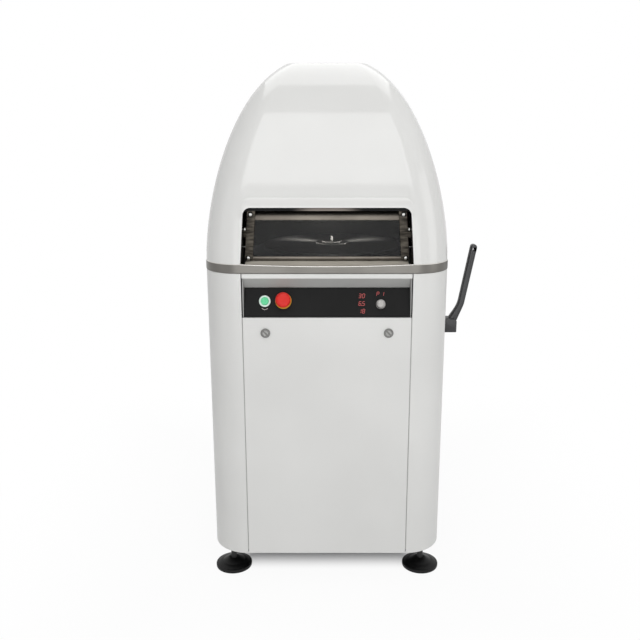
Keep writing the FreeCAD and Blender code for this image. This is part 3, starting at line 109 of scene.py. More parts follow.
metal = {"Metallic": 1.0}
looks = {
    # gelcoat over glass fibre: bright, smooth and glossy, with a very long wave in its reflections
    "whiteGelcoat": {"color": "#E2E2E0", "shade": "#DEDEDC", "grainMm": 60, "cloudMm": 260, "rough": (0.07, 0.09),
                     "bumpMm": 0.006, "sockets": {"IOR": 1.5}},
    # powder coat on sheet steel: satin, with the orange peel of melted powder, drawn at 3 mm so that it shows
    "whitePowderCoat": {"color": "#E0E0DE", "shade": "#DBDBD9", "grainMm": 3, "cloudMm": 300, "rough": (0.34, 0.42),
                        "bumpMm": 0.008, "sockets": {"IOR": 1.5}},
    # stainless strip ground along its length: fine level lines, drawn 1 mm apart so that they show
    "groundStainless": {"color": "#73716D", "shade": "#6B6965", "grainMm": 40, "stretch": (1, 1, 40), "cloudMm": 120,
                        "rough": (0.3, 0.42), "bumpMm": 0.01, "sockets": metal},
    # warm grey stainless of the guard, brushed from side to side
    "brushedGuard": {"color": "#69645D", "shade": "#5D5852", "grainMm": 30, "stretch": (1, 30, 30), "cloudMm": 60,
                     "rough": (0.24, 0.36), "bumpMm": 0.01, "sockets": metal},
    # rolled sheet of the guard's side plates: darker than the rails, with level dark and pale streaks in its colour
    # that are painted reflections
    "platePaintedReflections": {"color": "#48443E", "shade": "#1F1D1A", "grainMm": 24, "stretch": (1, 1, 6), "cloudMm": 30,
                    "streaked": True, "rough": (0.28, 0.44), "bumpMm": 0.02, "sockets": metal},
    # bead-blasted stainless of the sill: pale, dull and a little warm, so it scatters much of its light; its
    # paleness is partly painted light where the hood shades it
    "paleSillPaintedLight": {"color": "#E2DBCE", "shade": "#D7D0C3", "grainMm": 2, "cloudMm": 60, "rough": (0.5, 0.6),
                     "bumpMm": 0.02, "sockets": {"Metallic": 0.1}},
    # nickel plate on the locks' rings, greyer than bare steel
    "nickelPlate": {"color": "#727270", "shade": "#666664", "grainMm": 2, "cloudMm": 10, "rough": (0.24, 0.34),
                    "bumpMm": 0.004, "sockets": metal},
    # the locks' faces, polished before they were plated
    "brightNickel": {"color": "#929290", "shade": "#868684", "grainMm": 2, "cloudMm": 10, "rough": (0.2, 0.3),
                     "bumpMm": 0.004, "sockets": metal},
    # polished steel of the guard's nuts and pins
    "polishedSteel": {"color": "#A3A3A1", "shade": "#979795", "grainMm": 3, "cloudMm": 20, "rough": (0.14, 0.22),
                      "bumpMm": 0.003, "sockets": metal},
    # bright zinc on fasteners and small sheet parts, with a faint bloom
    "zincPlate": {"color": "#A8A9A6", "shade": "#98998F", "grainMm": 5, "cloudMm": 18, "rough": (0.34, 0.5),
                  "bumpMm": 0.008, "sockets": metal},
    # black oxide on the stems of the feet: thin, even and oily
    "blackOxide": {"color": "#1A1A1A", "shade": "#202020", "grainMm": 2, "cloudMm": 15, "rough": (0.4, 0.52),
                   "bumpMm": 0.006},
    # powder coat of the recess over the control panel, with the same orange peel as on the casing; its grey is
    # painted shade under the band
    "recessPaintedShade": {"color": "#B4B4B2", "shade": "#AEAEAC", "grainMm": 3, "cloudMm": 120, "rough": (0.34, 0.42),
                       "bumpMm": 0.008, "sockets": {"IOR": 1.5}},
    # ground steel of shafts and columns, with lines round the turning
    "groundShaft": {"color": "#8F9092", "shade": "#828385", "grainMm": 20, "stretch": (1, 1, 20), "cloudMm": 60,
                    "rough": (0.2, 0.34), "bumpMm": 0.006, "sockets": metal},
    # rolled stainless sheet of the chamber and the knives
    "chamberSteel": {"color": "#8D8B86", "shade": "#7F7D79", "grainMm": 25, "stretch": (1, 1, 25), "cloudMm": 90,
                     "rough": (0.24, 0.4), "bumpMm": 0.008, "sockets": metal},
    # machined aluminium casting of the press plate
    "machinedAluminium": {"color": "#A9A9A7", "shade": "#9C9C9A", "grainMm": 4, "cloudMm": 70, "rough": (0.3, 0.45),
                          "bumpMm": 0.01, "sockets": metal},
    # grey cast iron under thin primer: sandy and dull
    "castIron": {"color": "#55585A", "shade": "#4A4D4F", "grainMm": 3, "cloudMm": 40, "rough": (0.5, 0.66),
                 "bumpMm": 0.12},
    # grey enamel on the welded frame
    "frameEnamel": {"color": "#8A8D90", "shade": "#808386", "grainMm": 3, "cloudMm": 120, "rough": (0.36, 0.48),
                    "bumpMm": 0.02},
    # dark blue enamel of motor and hydraulic unit
    "motorEnamel": {"color": "#44566B", "shade": "#3C4C60", "grainMm": 3, "cloudMm": 70, "rough": (0.34, 0.46),
                    "bumpMm": 0.03},
    # light grey silicone of the door's seals, extruded: a dull soft sheen
    "sealSilicone": {"color": "#B6B6B4", "shade": "#B0B0AE", "grainMm": 1, "cloudMm": 30, "rough": (0.55, 0.7),
                     "bumpMm": 0.02, "sockets": {"IOR": 1.41}},
    # fabric-backed rubber of the drive belt: dull, with a woven tooth
    "beltRubber": {"color": "#1C1C1C", "shade": "#232323", "grainMm": 2, "cloudMm": 30, "rough": (0.6, 0.75),
                   "bumpMm": 0.06},
    # turned bronze of the lever's bush
    "turnedBronze": {"color": "#A98A4A", "shade": "#9A7C40", "grainMm": 10, "stretch": (10, 1, 1), "cloudMm": 15,
                     "rough": (0.3, 0.42), "bumpMm": 0.008, "sockets": metal},
    # black polyester film on the control panel: satin, with the fine tooth of a printed film
    "blackFilm": {"color": "#131313", "shade": "#171717", "grainMm": 1.2, "cloudMm": 60, "rough": (0.46, 0.56),
                  "bumpMm": 0.006, "sockets": {"IOR": 1.45, "Specular IOR Level": 0.15}},
    # pale ink printed on that film
    "paleInk": {"color": "#B9AEAC", "shade": "#AFA4A2", "grainMm": 0.8, "cloudMm": 6, "rough": (0.5, 0.6),
                "bumpMm": 0.004},
    # glossy black ABS of the opening liner, moulded
    "mouldedBlack": {"color": "#0C0C0C", "shade": "#101010", "grainMm": 3, "cloudMm": 50, "rough": (0.26, 0.3),
                     "bumpMm": 0.001},
    # glass-filled nylon of the feet: near black, dull and slightly rough
    "nylonBlack": {"color": "#070707", "shade": "#0B0B0B", "grainMm": 1.4, "cloudMm": 30, "rough": (0.36, 0.52),
                   "bumpMm": 0.02, "sockets": {"Specular IOR Level": 0.22}},
    # black epoxy coat on the cast lever: satin with a fine leather grain
    "leverEpoxy": {"color": "#28282A", "shade": "#303032", "grainMm": 2.2, "cloudMm": 40, "rough": (0.32, 0.46),
                   "bumpMm": 0.03},
    # satin red polycarbonate of the stop button
    "stopRed": {"color": "#E02A22", "shade": "#D6261E", "grainMm": 6, "cloudMm": 14, "rough": (0.36, 0.44),
                "bumpMm": 0.004, "sockets": {"IOR": 1.5, "Specular IOR Level": 0.3}},
    # amber yellow ABS of its collar
    "stopYellow": {"color": "#E6A92C", "shade": "#DC9E26", "grainMm": 2, "cloudMm": 14, "rough": (0.3, 0.4),
                   "bumpMm": 0.004},
    # translucent green cap, softly lit from inside
    "startGreen": {"color": "#59C98F", "shade": "#69D19C", "grainMm": 2, "cloudMm": 9, "rough": (0.24, 0.32),
                   "bumpMm": 0.004, "sockets": {"Emission Color": linear("#59C98F"), "Emission Strength": 0.15}},
    # milky polycarbonate bezel, its colour tinged green as painted glow from the lit cap
    "milkyBezel": {"color": "#E4F3EC", "shade": "#DBEEE4", "grainMm": 2, "cloudMm": 9, "rough": (0.24, 0.32),
                   "bumpMm": 0.003},
    # satin anodised aluminium of the knob
    "satinKnob": {"color": "#9C9A98", "shade": "#918F8D", "grainMm": 1.5, "cloudMm": 12, "rough": (0.34, 0.46),
                  "bumpMm": 0.01, "sockets": {"Metallic": 0.85}},
    # light grey ABS enclosure
    "greyEnclosure": {"color": "#B9BABA", "shade": "#B0B1B1", "grainMm": 2, "cloudMm": 70, "rough": (0.4, 0.52),
                      "bumpMm": 0.02},
    # smoked polycarbonate of the guard: dark and clear, with a faint gloss; each of its two faces veils a share
    "smokedGlazing": {"color": "#2C2C2C", "shade": "#292929", "grainMm": 60, "cloudMm": 200, "rough": (0.03, 0.05),
                      "bumpMm": 0.002, "sockets": {"IOR": 1.45, "Specular IOR Level": 0.2, "Alpha": 0.45}},
    # red light-emitting segments behind dark film
    "litRed": {"color": "#9C4444", "shade": "#8C3C3C", "grainMm": 2, "cloudMm": 8, "rough": (0.4, 0.5),
               "bumpMm": 0.002, "sockets": {"Emission Color": linear("#C4504C"), "Emission Strength": 0.45}},
}
mats = {name: mixFinish(name, look) for name, look in looks.items()}


# paints light into a finish: mixes it towards a pale colour by a share between 0 and 1
def paintHighlight(made, share, bright):
    tree = made.node_tree
    color = tree.nodes["Principled BSDF"].inputs["Base Color"]
    brightened = addNode(tree, "ShaderNodeMix", data_type="RGBA")
    tree.links.new(share, brightened.inputs["Factor"])
    tree.links.new(color.links[0].from_socket, brightened.inputs["A"])
    brightened.inputs["B"].default_value = linear(bright)
    tree.links.new(brightened.outputs["Result"], color)


# turned stainless face of the rounding table: tool marks in rings, drawn 2 mm apart so that they show, light
# drawn out across them, and a painted highlight in two pale streaks that run out from the middle
table = {"centre": (14, -20, 0), "ring": 2.0, "ringDeep": 0.05, "ringBump": 0.5, "paintedHighlight": "#E9E5DC",
         "streakDeg": 36, "halfDeg": 28, "from": (35, 80), "to": (215, 150), "bossReach": 60, "rimFacing": (0.6, 0.3)}
tableLook = {"color": "#A7A6A2", "shade": "#9B9A96", "grainMm": 6, "cloudMm": 80, "rough": (0.26, 0.34),
             "bumpMm": 0.004, "sockets": {"Metallic": 1.0, "Anisotropic": 0.85}}


def turnedTable():
    made = mixFinish("turnedTable", tableLook)
    tree = made.node_tree
    shader = tree.nodes["Principled BSDF"]
    coords = addNode(tree, "ShaderNodeTexCoord").outputs["Object"]
    moved = addNode(tree, "ShaderNodeMapping", {
        "Vector": coords, "Location": [-c * mm for c in table["centre"]], "Scale": (1, 1, 0)}).outputs[0]
    outward = addNode(tree, "ShaderNodeVectorMath", {0: moved}, operation="NORMALIZE")
    tree.links.new(outward.outputs[0], shader.inputs["Tangent"])
    # the wave's rings are pi/10 apart at scale 1
    rings = addNode(tree, "ShaderNodeTexWave", {
        "Vector": moved, "Scale": math.pi / 10 / (table["ring"] * mm)}, wave_type="RINGS", rings_direction="Z")
    marks = addNode(tree, "ShaderNodeBump", {
        "Height": rings.outputs["Fac"], "Distance": table["ringDeep"] * mm, "Strength": table["ringBump"]})
    tree.links.new(marks.outputs[0], shader.inputs["Normal"])
    # a painted highlight streak: near one angle on either side, and between two distances from the middle
    across = addNode(tree, "ShaderNodeSeparateXYZ", {0: moved}).outputs
    sideways = addNode(tree, "ShaderNodeMath", {0: across["X"]}, operation="ABSOLUTE")
    turn = addNode(tree, "ShaderNodeMath", {0: across["Y"], 1: sideways.outputs[0]}, operation="ARCTAN2")
    off = addNode(tree, "ShaderNodeMath", {
        0: turn.outputs[0], 1: math.radians(table["streakDeg"])}, operation="SUBTRACT")
    away = addNode(tree, "ShaderNodeMath", {0: off.outputs[0]}, operation="ABSOLUTE")
    alongStreak = addNode(tree, "ShaderNodeMapRange", {
        "Value": away.outputs[0], "From Min": math.radians(table["halfDeg"]), "From Max": 0.0},
        interpolation_type="SMOOTHSTEP")
    length = addNode(tree, "ShaderNodeVectorMath", {0: moved}, operation="LENGTH").outputs["Value"]
    share = alongStreak.outputs[0]
    for low, high in (table["from"], table["to"]):
        ramp = addNode(tree, "ShaderNodeMapRange", {
            "Value": length, "From Min": low * mm, "From Max": high * mm}, interpolation_type="SMOOTHSTEP")
        share = addNode(tree, "ShaderNodeMath", {0: share, 1: ramp.outputs[0]}, operation="MULTIPLY").outputs[0]
    # the painted highlight also lies on the upright rims of the boss and on its pin
    facing = addNode(tree, "ShaderNodeTexCoord").outputs["Normal"]
    upward = addNode(tree, "ShaderNodeSeparateXYZ", {0: facing}).outputs["Z"]
    rim = addNode(tree, "ShaderNodeMapRange", {
        "Value": upward, "From Min": table["rimFacing"][0], "From Max": table["rimFacing"][1]})
    inner = addNode(tree, "ShaderNodeMath", {0: length, 1: table["bossReach"] * mm}, operation="LESS_THAN")
    rimHighlight = addNode(tree, "ShaderNodeMath", {0: rim.outputs[0], 1: inner.outputs[0]}, operation="MULTIPLY")
    share = addNode(tree, "ShaderNodeMath", {0: share, 1: rimHighlight.outputs[0]}, operation="MAXIMUM").outputs[0]
    paintHighlight(made, share, table["paintedHighlight"])
    # the painted highlight is made less metallic
    dull = addNode(tree, "ShaderNodeMapRange", {"Value": share, "To Min": 1.0, "To Max": 0.0})
    tree.links.new(dull.outputs[0], shader.inputs["Metallic"])
    return made


mats["turnedTable"] = turnedTable()

# the band's upper edge, which faces upwards, is painted bright as a highlight
bandEdgeHighlight = {"facing": (0.1, 0.4), "color": "#D6D4CF"}
bandTree = mats["groundStainless"].node_tree
bandFacing = addNode(bandTree, "ShaderNodeTexCoord").outputs["Normal"]
facesUp = addNode(bandTree, "ShaderNodeSeparateXYZ", {0: bandFacing}).outputs["Z"]
edgeShare = addNode(bandTree, "ShaderNodeMapRange", {
    "Value": facesUp, "From Min": bandEdgeHighlight["facing"][0], "From Max": bandEdgeHighlight["facing"][1]})
paintHighlight(mats["groundStainless"], edgeShare.outputs[0], bandEdgeHighlight["color"])

# black trim over the opening: the moulded finish, with a pale reflection painted across its middle
trimReflection = {"fromMm": 95, "toMm": 30, "color": "#8A827C"}
trimLook = {**looks["mouldedBlack"], "sockets": {"Specular IOR Level": 0.1}}
mats["trimPaintedReflection"] = mixFinish("trimPaintedReflection", trimLook)
trimTree = mats["trimPaintedReflection"].node_tree
trimSpot = addNode(trimTree, "ShaderNodeTexCoord").outputs["Object"]
trimFolded = addNode(trimTree, "ShaderNodeVectorMath", {0: trimSpot}, operation="ABSOLUTE")
fromMiddle = addNode(trimTree, "ShaderNodeSeparateXYZ", {0: trimFolded.outputs[0]}).outputs["X"]
reflectionShare = addNode(trimTree, "ShaderNodeMapRange", {
    "Value": fromMiddle, "From Min": trimReflection["fromMm"] * mm, "From Max": trimReflection["toMm"] * mm},
    interpolation_type="SMOOTHSTEP")
paintHighlight(mats["trimPaintedReflection"], reflectionShare.outputs[0], trimReflection["color"])
print("finishes made:", len(mats))

# which finish each carried-over node gets, and how far its edges are rounded in mm
dress = {
    "whitePowderCoat": (0.8, ["left_side_panel", "right_side_panel", "rear_panel", "front_door",
                              "console_header"]),
    "recessPaintedShade": (0.8, ["console_soffit", "console_cheeks"]),
    "groundStainless": (2.2, ["belt_band"]),
    "paleSillPaintedLight": (1.2, ["entry_sill"]),
    "polishedSteel": (0.6, ["guard_cap_nuts", "guard_stop_pins"]),
    "nickelPlate": (0.8, ["lock_housings", "left_lock_core", "right_lock_core"]),
    "zincPlate": (0.5, ["rear_screws", "hood_brackets", "lock_keepers"]),
    "blackOxide": (0.5, ["foot_stems", "foot_lock_nuts"]),
    "groundShaft": (0.6, ["lever_shaft", "eccentric_shaft", "idler_crank", "head_columns"]),
    "chamberSteel": (0.3, ["chamber_wall", "knife_set"]),
    "machinedAluminium": (0.8, ["press_plate"]),
    "turnedTable": (0.8, ["rounding_table"]),
    "castIron": (1.5, ["bearing_housing", "table_pulley", "motor_pulley", "press_cylinder"]),
    "frameEnamel": (1.0, ["base_plate", "support_frame", "deck_plate", "motor_plate", "head_plate"]),
    "motorEnamel": (3.0, ["drive_motor", "hydraulic_unit"]),
    "beltRubber": (0.8, ["drive_belt"]),
    "turnedBronze": (0.6, ["lever_bush"]),
    "blackFilm": (0.3, ["console_panel", "display_lenses"]),
    "mouldedBlack": (0.6, ["opening_liner", "cable_gland"]),
    "stopYellow": (0.8, ["emergency_stop_collar"]),
    "startGreen": (0.6, ["start_button"]),
    "milkyBezel": (1.0, ["start_button_bezel"]),
    "greyEnclosure": (3.0, ["control_box"]),
    "smokedGlazing": (0.4, ["guard_window"]),
    "platePaintedReflections": (0.6, ["guard_side_plates", "guard_brackets", "guard_pivots"]),
}
# how a node's triangles are joined again: faces that turn less than flatDeg are one, and an edge that turns more
# than edgeDeg is rounded, with one more step where it is rounded by over wideMm
joining = {"flatDeg": 0.2, "edgeDeg": 30, "wideMm": 2, "evenWeight": 100}
for matName, (edgeMm, names) in dress.items():
    for name in names:
        node = nodes[name]
        node.data.materials.clear()
        node.data.materials.append(mats[matName])
        node.data.shade_smooth()
        weld = node.modifiers.new("joinTriangles", "WELD")
        weld.merge_threshold = hair
        flat = node.modifiers.new("joinFlats", "DECIMATE")
        flat.decimate_type = "DISSOLVE"
        flat.angle_limit = math.radians(joining["flatDeg"])
        soften = node.modifiers.new("softEdges", "BEVEL")
        soften.width = edgeMm * mm
        soften.segments = 3 if edgeMm > joining["wideMm"] else 2
        soften.limit_method = "ANGLE"
        soften.angle_limit = math.radians(joining["edgeDeg"])
        even = node.modifiers.new("evenShade", "WEIGHTED_NORMAL")
        even.weight = joining["evenWeight"]
print("nodes dressed:", sum(len(names) for _, names in dress.values()))


# clears the selection, so that an operator acts on the next piece alone
def startFresh(piece=None):
    bpy.ops.object.select_all(action="DESELECT")
    if piece:
        piece.select_set(True)
        bpy.context.view_layer.objects.active = piece


# puts a piece's place, turn and size into its mesh
def bakePlace(piece):
    startFresh(piece)
    bpy.ops.object.transform_apply(location=True, rotation=True, scale=True)


# moves a piece to a place in mm
def setDown(piece, xMm, yMm, zMm):
    piece.location = (xMm * mm, yMm * mm, zMm * mm)
    bakePlace(piece)


# edit mode: selects the vertices, edges or faces that pass a test
def pick(kind, test):
    bpy.ops.mesh.select_mode(type=kind)
    bpy.ops.mesh.select_all(action="DESELECT")
    mesh = bmesh.from_edit_mesh(bpy.context.object.data)
    for item in {"VERT": mesh.verts, "EDGE": mesh.edges, "FACE": mesh.faces}[kind]:
        if test(item):
            item.select_set(True)
    mesh.select_flush_mode()
    bmesh.update_edit_mesh(bpy.context.object.data)


# adds a modifier and applies it at once
def work(piece, kind, **settings):
    startFresh(piece)
    step = piece.modifiers.new(kind.lower(), kind)
    for key, value in settings.items():
        setattr(step, key, value)
    bpy.ops.object.modifier_apply(modifier=step.name)


# takes a cutter's form out of a piece, or keeps only what the two share
def carve(piece, cutter, operation="DIFFERENCE"):
    work(piece, "BOOLEAN", object=cutter, operation=operation, solver="EXACT")


# rounds the sharp edges of a piece
def roundEdges(piece, widthMm, steps):
    work(piece, "BEVEL", width=widthMm * mm, segments=steps, limit_method="ANGLE",
         angle_limit=math.radians(sharpDeg))


# another object with its own mesh
def twin(piece):
    other = piece.copy()
    other.data = piece.data.copy()
    other.parent = None
    bpy.context.scene.collection.objects.link(other)
    return other


# makes one object of several
def gather(pieces):
    startFresh(pieces[0])
    for piece in pieces:
        piece.select_set(True)
    if len(pieces) > 1:
        bpy.ops.object.join()
    return bpy.context.object


# last touches: name, smooth shading, finish and body, and the nodes it stands for
def seat(piece, name, matName, body, slot, *replaced, angleDeg=35):
    piece.name = name
    startFresh(piece)
    bpy.ops.object.shade_smooth_by_angle(angle=math.radians(angleDeg))
    piece.data.materials.clear()
    piece.data.materials.append(mats[matName])
    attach(piece, body)
    if replaced:
        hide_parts(*replaced)


# a round piece: a filled circle drawn up through rings of (radius, height) in mm
def drawUp(rings, sides):
    startFresh()
    radius, height = rings[0]
    bpy.ops.mesh.primitive_circle_add(
        vertices=sides, radius=radius * mm, fill_type="NGON", location=(0, 0, height * mm))
    piece = bpy.context.object
    bakePlace(piece)
    bpy.ops.object.mode_set(mode="EDIT")
    bpy.ops.mesh.select_mode(type="FACE")
    bpy.ops.mesh.select_all(action="SELECT")
    for (r0, h0), (r1, h1) in zip(rings, rings[1:]):
        bpy.ops.mesh.extrude_region_move(TRANSFORM_OT_translate={"value": (0, 0, (h1 - h0) * mm)})
        bpy.ops.transform.resize(value=(r1 / r0, r1 / r0, 1), center_override=(0, 0, h1 * mm))
    bpy.ops.mesh.select_all(action="SELECT")
    bpy.ops.mesh.normals_make_consistent(inside=False)
    bpy.ops.object.mode_set(mode="OBJECT")
    return piece


# a block of given size in mm, standing round a middle point
def blockOf(sizeMm, middleMm):
    startFresh()
    bpy.ops.mesh.primitive_cube_add(size=1, location=[c * mm for c in middleMm])
    piece = bpy.context.object
    piece.scale = [s * mm for s in sizeMm]
    bakePlace(piece)
    return piece


# hood: the casing's outline drawn in level by level towards an upright axis, then hollowed and opened
hood = {"width": 640, "depth": 690, "corner": 98, "cornerSteps": 16, "axisY": 60, "footZ": 890, "crown": 530,
        "risePower": 1.7, "roundPower": 2.4, "levels": 26, "topRings": [(504.6, 1.0), (505.5, 0.98), (506, 0.955)],
        "wall": 5, "evenWeight": 100}
opening = {"foot": 443, "head": 424, "height": 141, "corner": 18, "cornerSteps": 10, "below": 20, "deep": 160}
trim = {"gap": 0.4, "drop": 8, "spread": 3, "corner": 15, "inset": 1.5, "round": 2.2, "steps": 4}
lip = {"side": 5, "top": 25, "proud": 3.0, "round": 2.4, "steps": 4}


# how wide the hood still is at a rise above its foot, as a share of the foot's width
def hoodShare(rise):
    return (1 - (rise / hood["crown"]) ** hood["risePower"]) ** (1 / hood["roundPower"])


def drawHood():
    startFresh()
    bpy.ops.mesh.primitive_plane_add(size=1, location=(0, 0, hood["footZ"] * mm))
    shell = bpy.context.object
    shell.scale = (hood["width"] * mm, hood["depth"] * mm, 1)
    bakePlace(shell)
    bpy.ops.object.mode_set(mode="EDIT")
    bpy.ops.mesh.select_all(action="SELECT")
    bpy.ops.mesh.bevel(offset=hood["corner"] * mm, segments=hood["cornerSteps"], affect="VERTICES")
    bpy.ops.mesh.select_mode(type="FACE")
    bpy.ops.mesh.select_all(action="SELECT")
    start = hood["topRings"][0][0]  # from here the side rolls over into the flat crown
    rises = [start * math.sin(math.pi / 2 * i / hood["levels"]) for i in range(hood["levels"] + 1)]
    rings = [(rise, hoodShare(rise)) for rise in rises]
    rings += [(rise, share * hoodShare(start)) for rise, share in hood["topRings"][1:]]
    for (rise0, share0), (rise1, share1) in zip(rings, rings[1:]):
        ratio = share1 / share0
        level = (hood["footZ"] + rise1) * mm
        bpy.ops.mesh.extrude_region_move(TRANSFORM_OT_translate={"value": (0, 0, (rise1 - rise0) * mm)})
        bpy.ops.transform.resize(value=(ratio, ratio, 1), center_override=(0, hood["axisY"] * mm, level))
    bpy.ops.mesh.select_all(action="SELECT")
    bpy.ops.mesh.normals_make_consistent(inside=False)
    pick("FACE", lambda f: all(abs(v.co.z - hood["footZ"] * mm) < hair for v in f.verts))
    bpy.ops.mesh.delete(type="FACE")
    bpy.ops.object.mode_set(mode="OBJECT")
    work(shell, "SOLIDIFY", thickness=hood["wall"] * mm, offset=-1)
    return shell


# a block with the opening's tapering form, grown by a margin at the sides and the top
def openingBlock(side, top, corner):
    width = opening["foot"] + 2 * side
    height = opening["height"] + top + opening["below"]
    middle = (0, -hood["depth"] / 2, hood["footZ"] - opening["below"] + height / 2)
    piece = blockOf((width, opening["deep"], height), middle)
    head = (hood["footZ"] + opening["height"] + top) * mm
    ratio = (opening["head"] + 2 * side) / width
    bpy.ops.object.mode_set(mode="EDIT")
    pick("VERT", lambda v: abs(v.co.z - head) < hair)
    bpy.ops.transform.resize(value=(ratio, 1, 1), center_override=(0, 0, head))
    pick("EDGE", lambda e: all(abs(v.co.z - head) < hair for v in e.verts)
         and abs(e.verts[0].co.x - e.verts[1].co.x) < hair)
    bpy.ops.mesh.bevel(offset=corner * mm, segments=opening["cornerSteps"])
    bpy.ops.object.mode_set(mode="OBJECT")
    return piece


hoodShell = drawHood()
hoodLip = twin(hoodShell)
blackTrim = twin(hoodShell)
mouth = openingBlock(0, 0, opening["corner"])
lipBlock = openingBlock(lip["side"], lip["top"], opening["corner"] + lip["side"])
trimBlock = openingBlock(-trim["gap"], -trim["gap"], opening["corner"] - trim["gap"])
underTrim = openingBlock(trim["spread"], -trim["drop"], trim["corner"])
carve(hoodShell, mouth)
carve(hoodLip, lipBlock, "INTERSECT")
carve(hoodLip, mouth)
setDown(hoodLip, 0, -lip["proud"], 0)
roundEdges(hoodLip, lip["round"], lip["steps"])
carve(blackTrim, trimBlock, "INTERSECT")
carve(blackTrim, underTrim)
setDown(blackTrim, 0, trim["inset"], 0)
roundEdges(blackTrim, trim["round"], trim["steps"])
for cutter in (mouth, lipBlock, trimBlock, underTrim):
    bpy.data.objects.remove(cutter)
seat(hoodShell, "hoodShell", "whiteGelcoat", "machine", "hood_white", "hood", "hood_skirt")
work(hoodShell, "WEIGHTED_NORMAL", weight=hood["evenWeight"], keep_sharp=True)
seat(hoodLip, "openingLip", "whiteGelcoat", "machine", "hood_white")
seat(blackTrim, "openingTrim", "trimPaintedReflection", "machine", "liner_black")
print("hood drawn:", len(hoodShell.data.polygons), "faces")

# control panel: where its foot lies and how far it leans back
console = {"footZ": 752, "leanDeg": 21}
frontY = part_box("front_door")[0].y


# lays a piece that was drawn flat at the origin onto the leaning panel
def ontoConsole(piece, xMm, alongMm, outMm=0.0):
    lean = math.radians(console["leanDeg"])
    piece.rotation_euler = (math.pi / 2 - lean, 0, 0)
    piece.location = (
        xMm * mm,
        frontY + alongMm * mm * math.sin(lean) - outMm * mm * math.cos(lean),
        (console["footZ"] + alongMm * math.cos(lean) + outMm * math.sin(lean)) * mm)
    bakePlace(piece)
    return piece


# stop button: a mushroom on its stem
stop = {"x": -113, "along": 42, "sides": 64, "rings": [
    (8, -12), (8, 12), (16.8, 12), (18.6, 12.7), (19.7, 14.4), (20, 17), (19.7, 20.5), (18.8, 23.8), (17.2, 26.4),
    (15, 28), (12, 28.8), (6, 29), (1, 29)]}
stopCap = ontoConsole(drawUp(stop["rings"], stop["sides"]), stop["x"], stop["along"])
seat(stopCap, "stopMushroom", "stopRed", "emergency_stop", "stop_red", "emergency_stop_head", angleDeg=50)

# knob: a turned cap with a flange at its foot, a ring cut into its face and a raised pointer
knob = {"x": 139, "along": 33, "sides": 64, "rings": [
    (3, -12), (3, 1), (12.2, 1), (12.5, 1.4), (12.5, 3.2), (12.1, 3.8), (11.6, 4), (11.3, 13.6), (10.9, 14.9),
    (10.2, 15.5), (9.4, 15.5), (9.0, 14.6), (8.2, 14.6), (7.8, 15.3), (7.2, 15.5), (1, 15.5)]}
pointer = {"size": (1.4, 5.5, 0.5), "out": 3.4, "sunk": 0.1, "round": 0.2}
knobCap = drawUp(knob["rings"], knob["sides"])
knobFace = knob["rings"][-1][1]
knobMark = blockOf(pointer["size"], (0, pointer["out"], knobFace + pointer["size"][2] / 2 - pointer["sunk"]))
work(knobMark, "BEVEL", width=pointer["round"] * mm, segments=2)
knobWhole = ontoConsole(gather([knobCap, knobMark]), knob["x"], knob["along"])
seat(knobWhole, "turnedKnob", "satinKnob", "knob", "knob_silver", "control_knob", angleDeg=30)

# feet: a low cone with a stepped ring and a soft rim, one under each corner
feet = {"x": 268, "y": 288, "sides": 64, "rings": [
    (45, 0), (49, 0), (50.5, 1), (51, 3), (51, 8), (50.3, 9.6), (48.6, 10.4), (46, 10.8), (44.8, 11.4), (42, 13),
    (33, 16.4), (31.6, 16.5), (30.4, 17.6), (22, 21.2), (17, 24.2), (15, 25), (9, 25)]}
disc = drawUp(feet["rings"], feet["sides"])
discs = [disc] + [twin(disc) for _ in range(3)]
for piece, (sx, sy) in zip(discs, ((-1, -1), (1, -1), (1, 1), (-1, 1))):
    setDown(piece, sx * feet["x"], sy * feet["y"], 0)
seat(gather(discs), "footPads", "nylonBlack", "machine", "foot_black", "foot_discs", angleDeg=40)

# numbers: slanted seven-segment digits that shine through the film. A bar's pointed ends and the gap beyond them
# are shares of its width, and each number has its text, its place and the distance between its digits.
digits = {"height": 10.4, "width": 5.6, "bar": 1.2, "end": 0.6, "tip": 0.2, "gap": 0.2, "deep": 0.25, "leanDeg": 9,
          "out": 1.0}
segments = {"0": "abcdef", "1": "bc", "3": "abcdg", "5": "acdfg", "6": "acdefg", "8": "abcdefg", "P": "abefg"}
numbers = [("30", 90, 55, 9.2), ("65", 90, 35, 9.2), ("18", 90, 15, 9.2), ("P1", 138, 60, 12.42)]
decimalPoint = {"x": 90, "along": 35, "radius": 0.9, "face": 0.4, "sides": 12}


# one bar with pointed ends, lying along X
def drawBar(lengthMm):
    straight = lengthMm - 2 * (digits["end"] + digits["gap"]) * digits["bar"]
    bar = blockOf((straight, digits["bar"], digits["deep"]), (0, 0, digits["deep"] / 2))
    for end in (-1, 1):
        bpy.ops.object.mode_set(mode="EDIT")
        pick("FACE", lambda f: f.normal.x * end > squarely)
        bpy.ops.mesh.extrude_region_move(
            TRANSFORM_OT_translate={"value": (end * digits["end"] * digits["bar"] * mm, 0, 0)})
        bpy.ops.transform.resize(
            value=(1, digits["tip"], 1), center_override=(end * straight / 2 * mm, 0, digits["deep"] / 2 * mm))
        bpy.ops.object.mode_set(mode="OBJECT")
    return bar


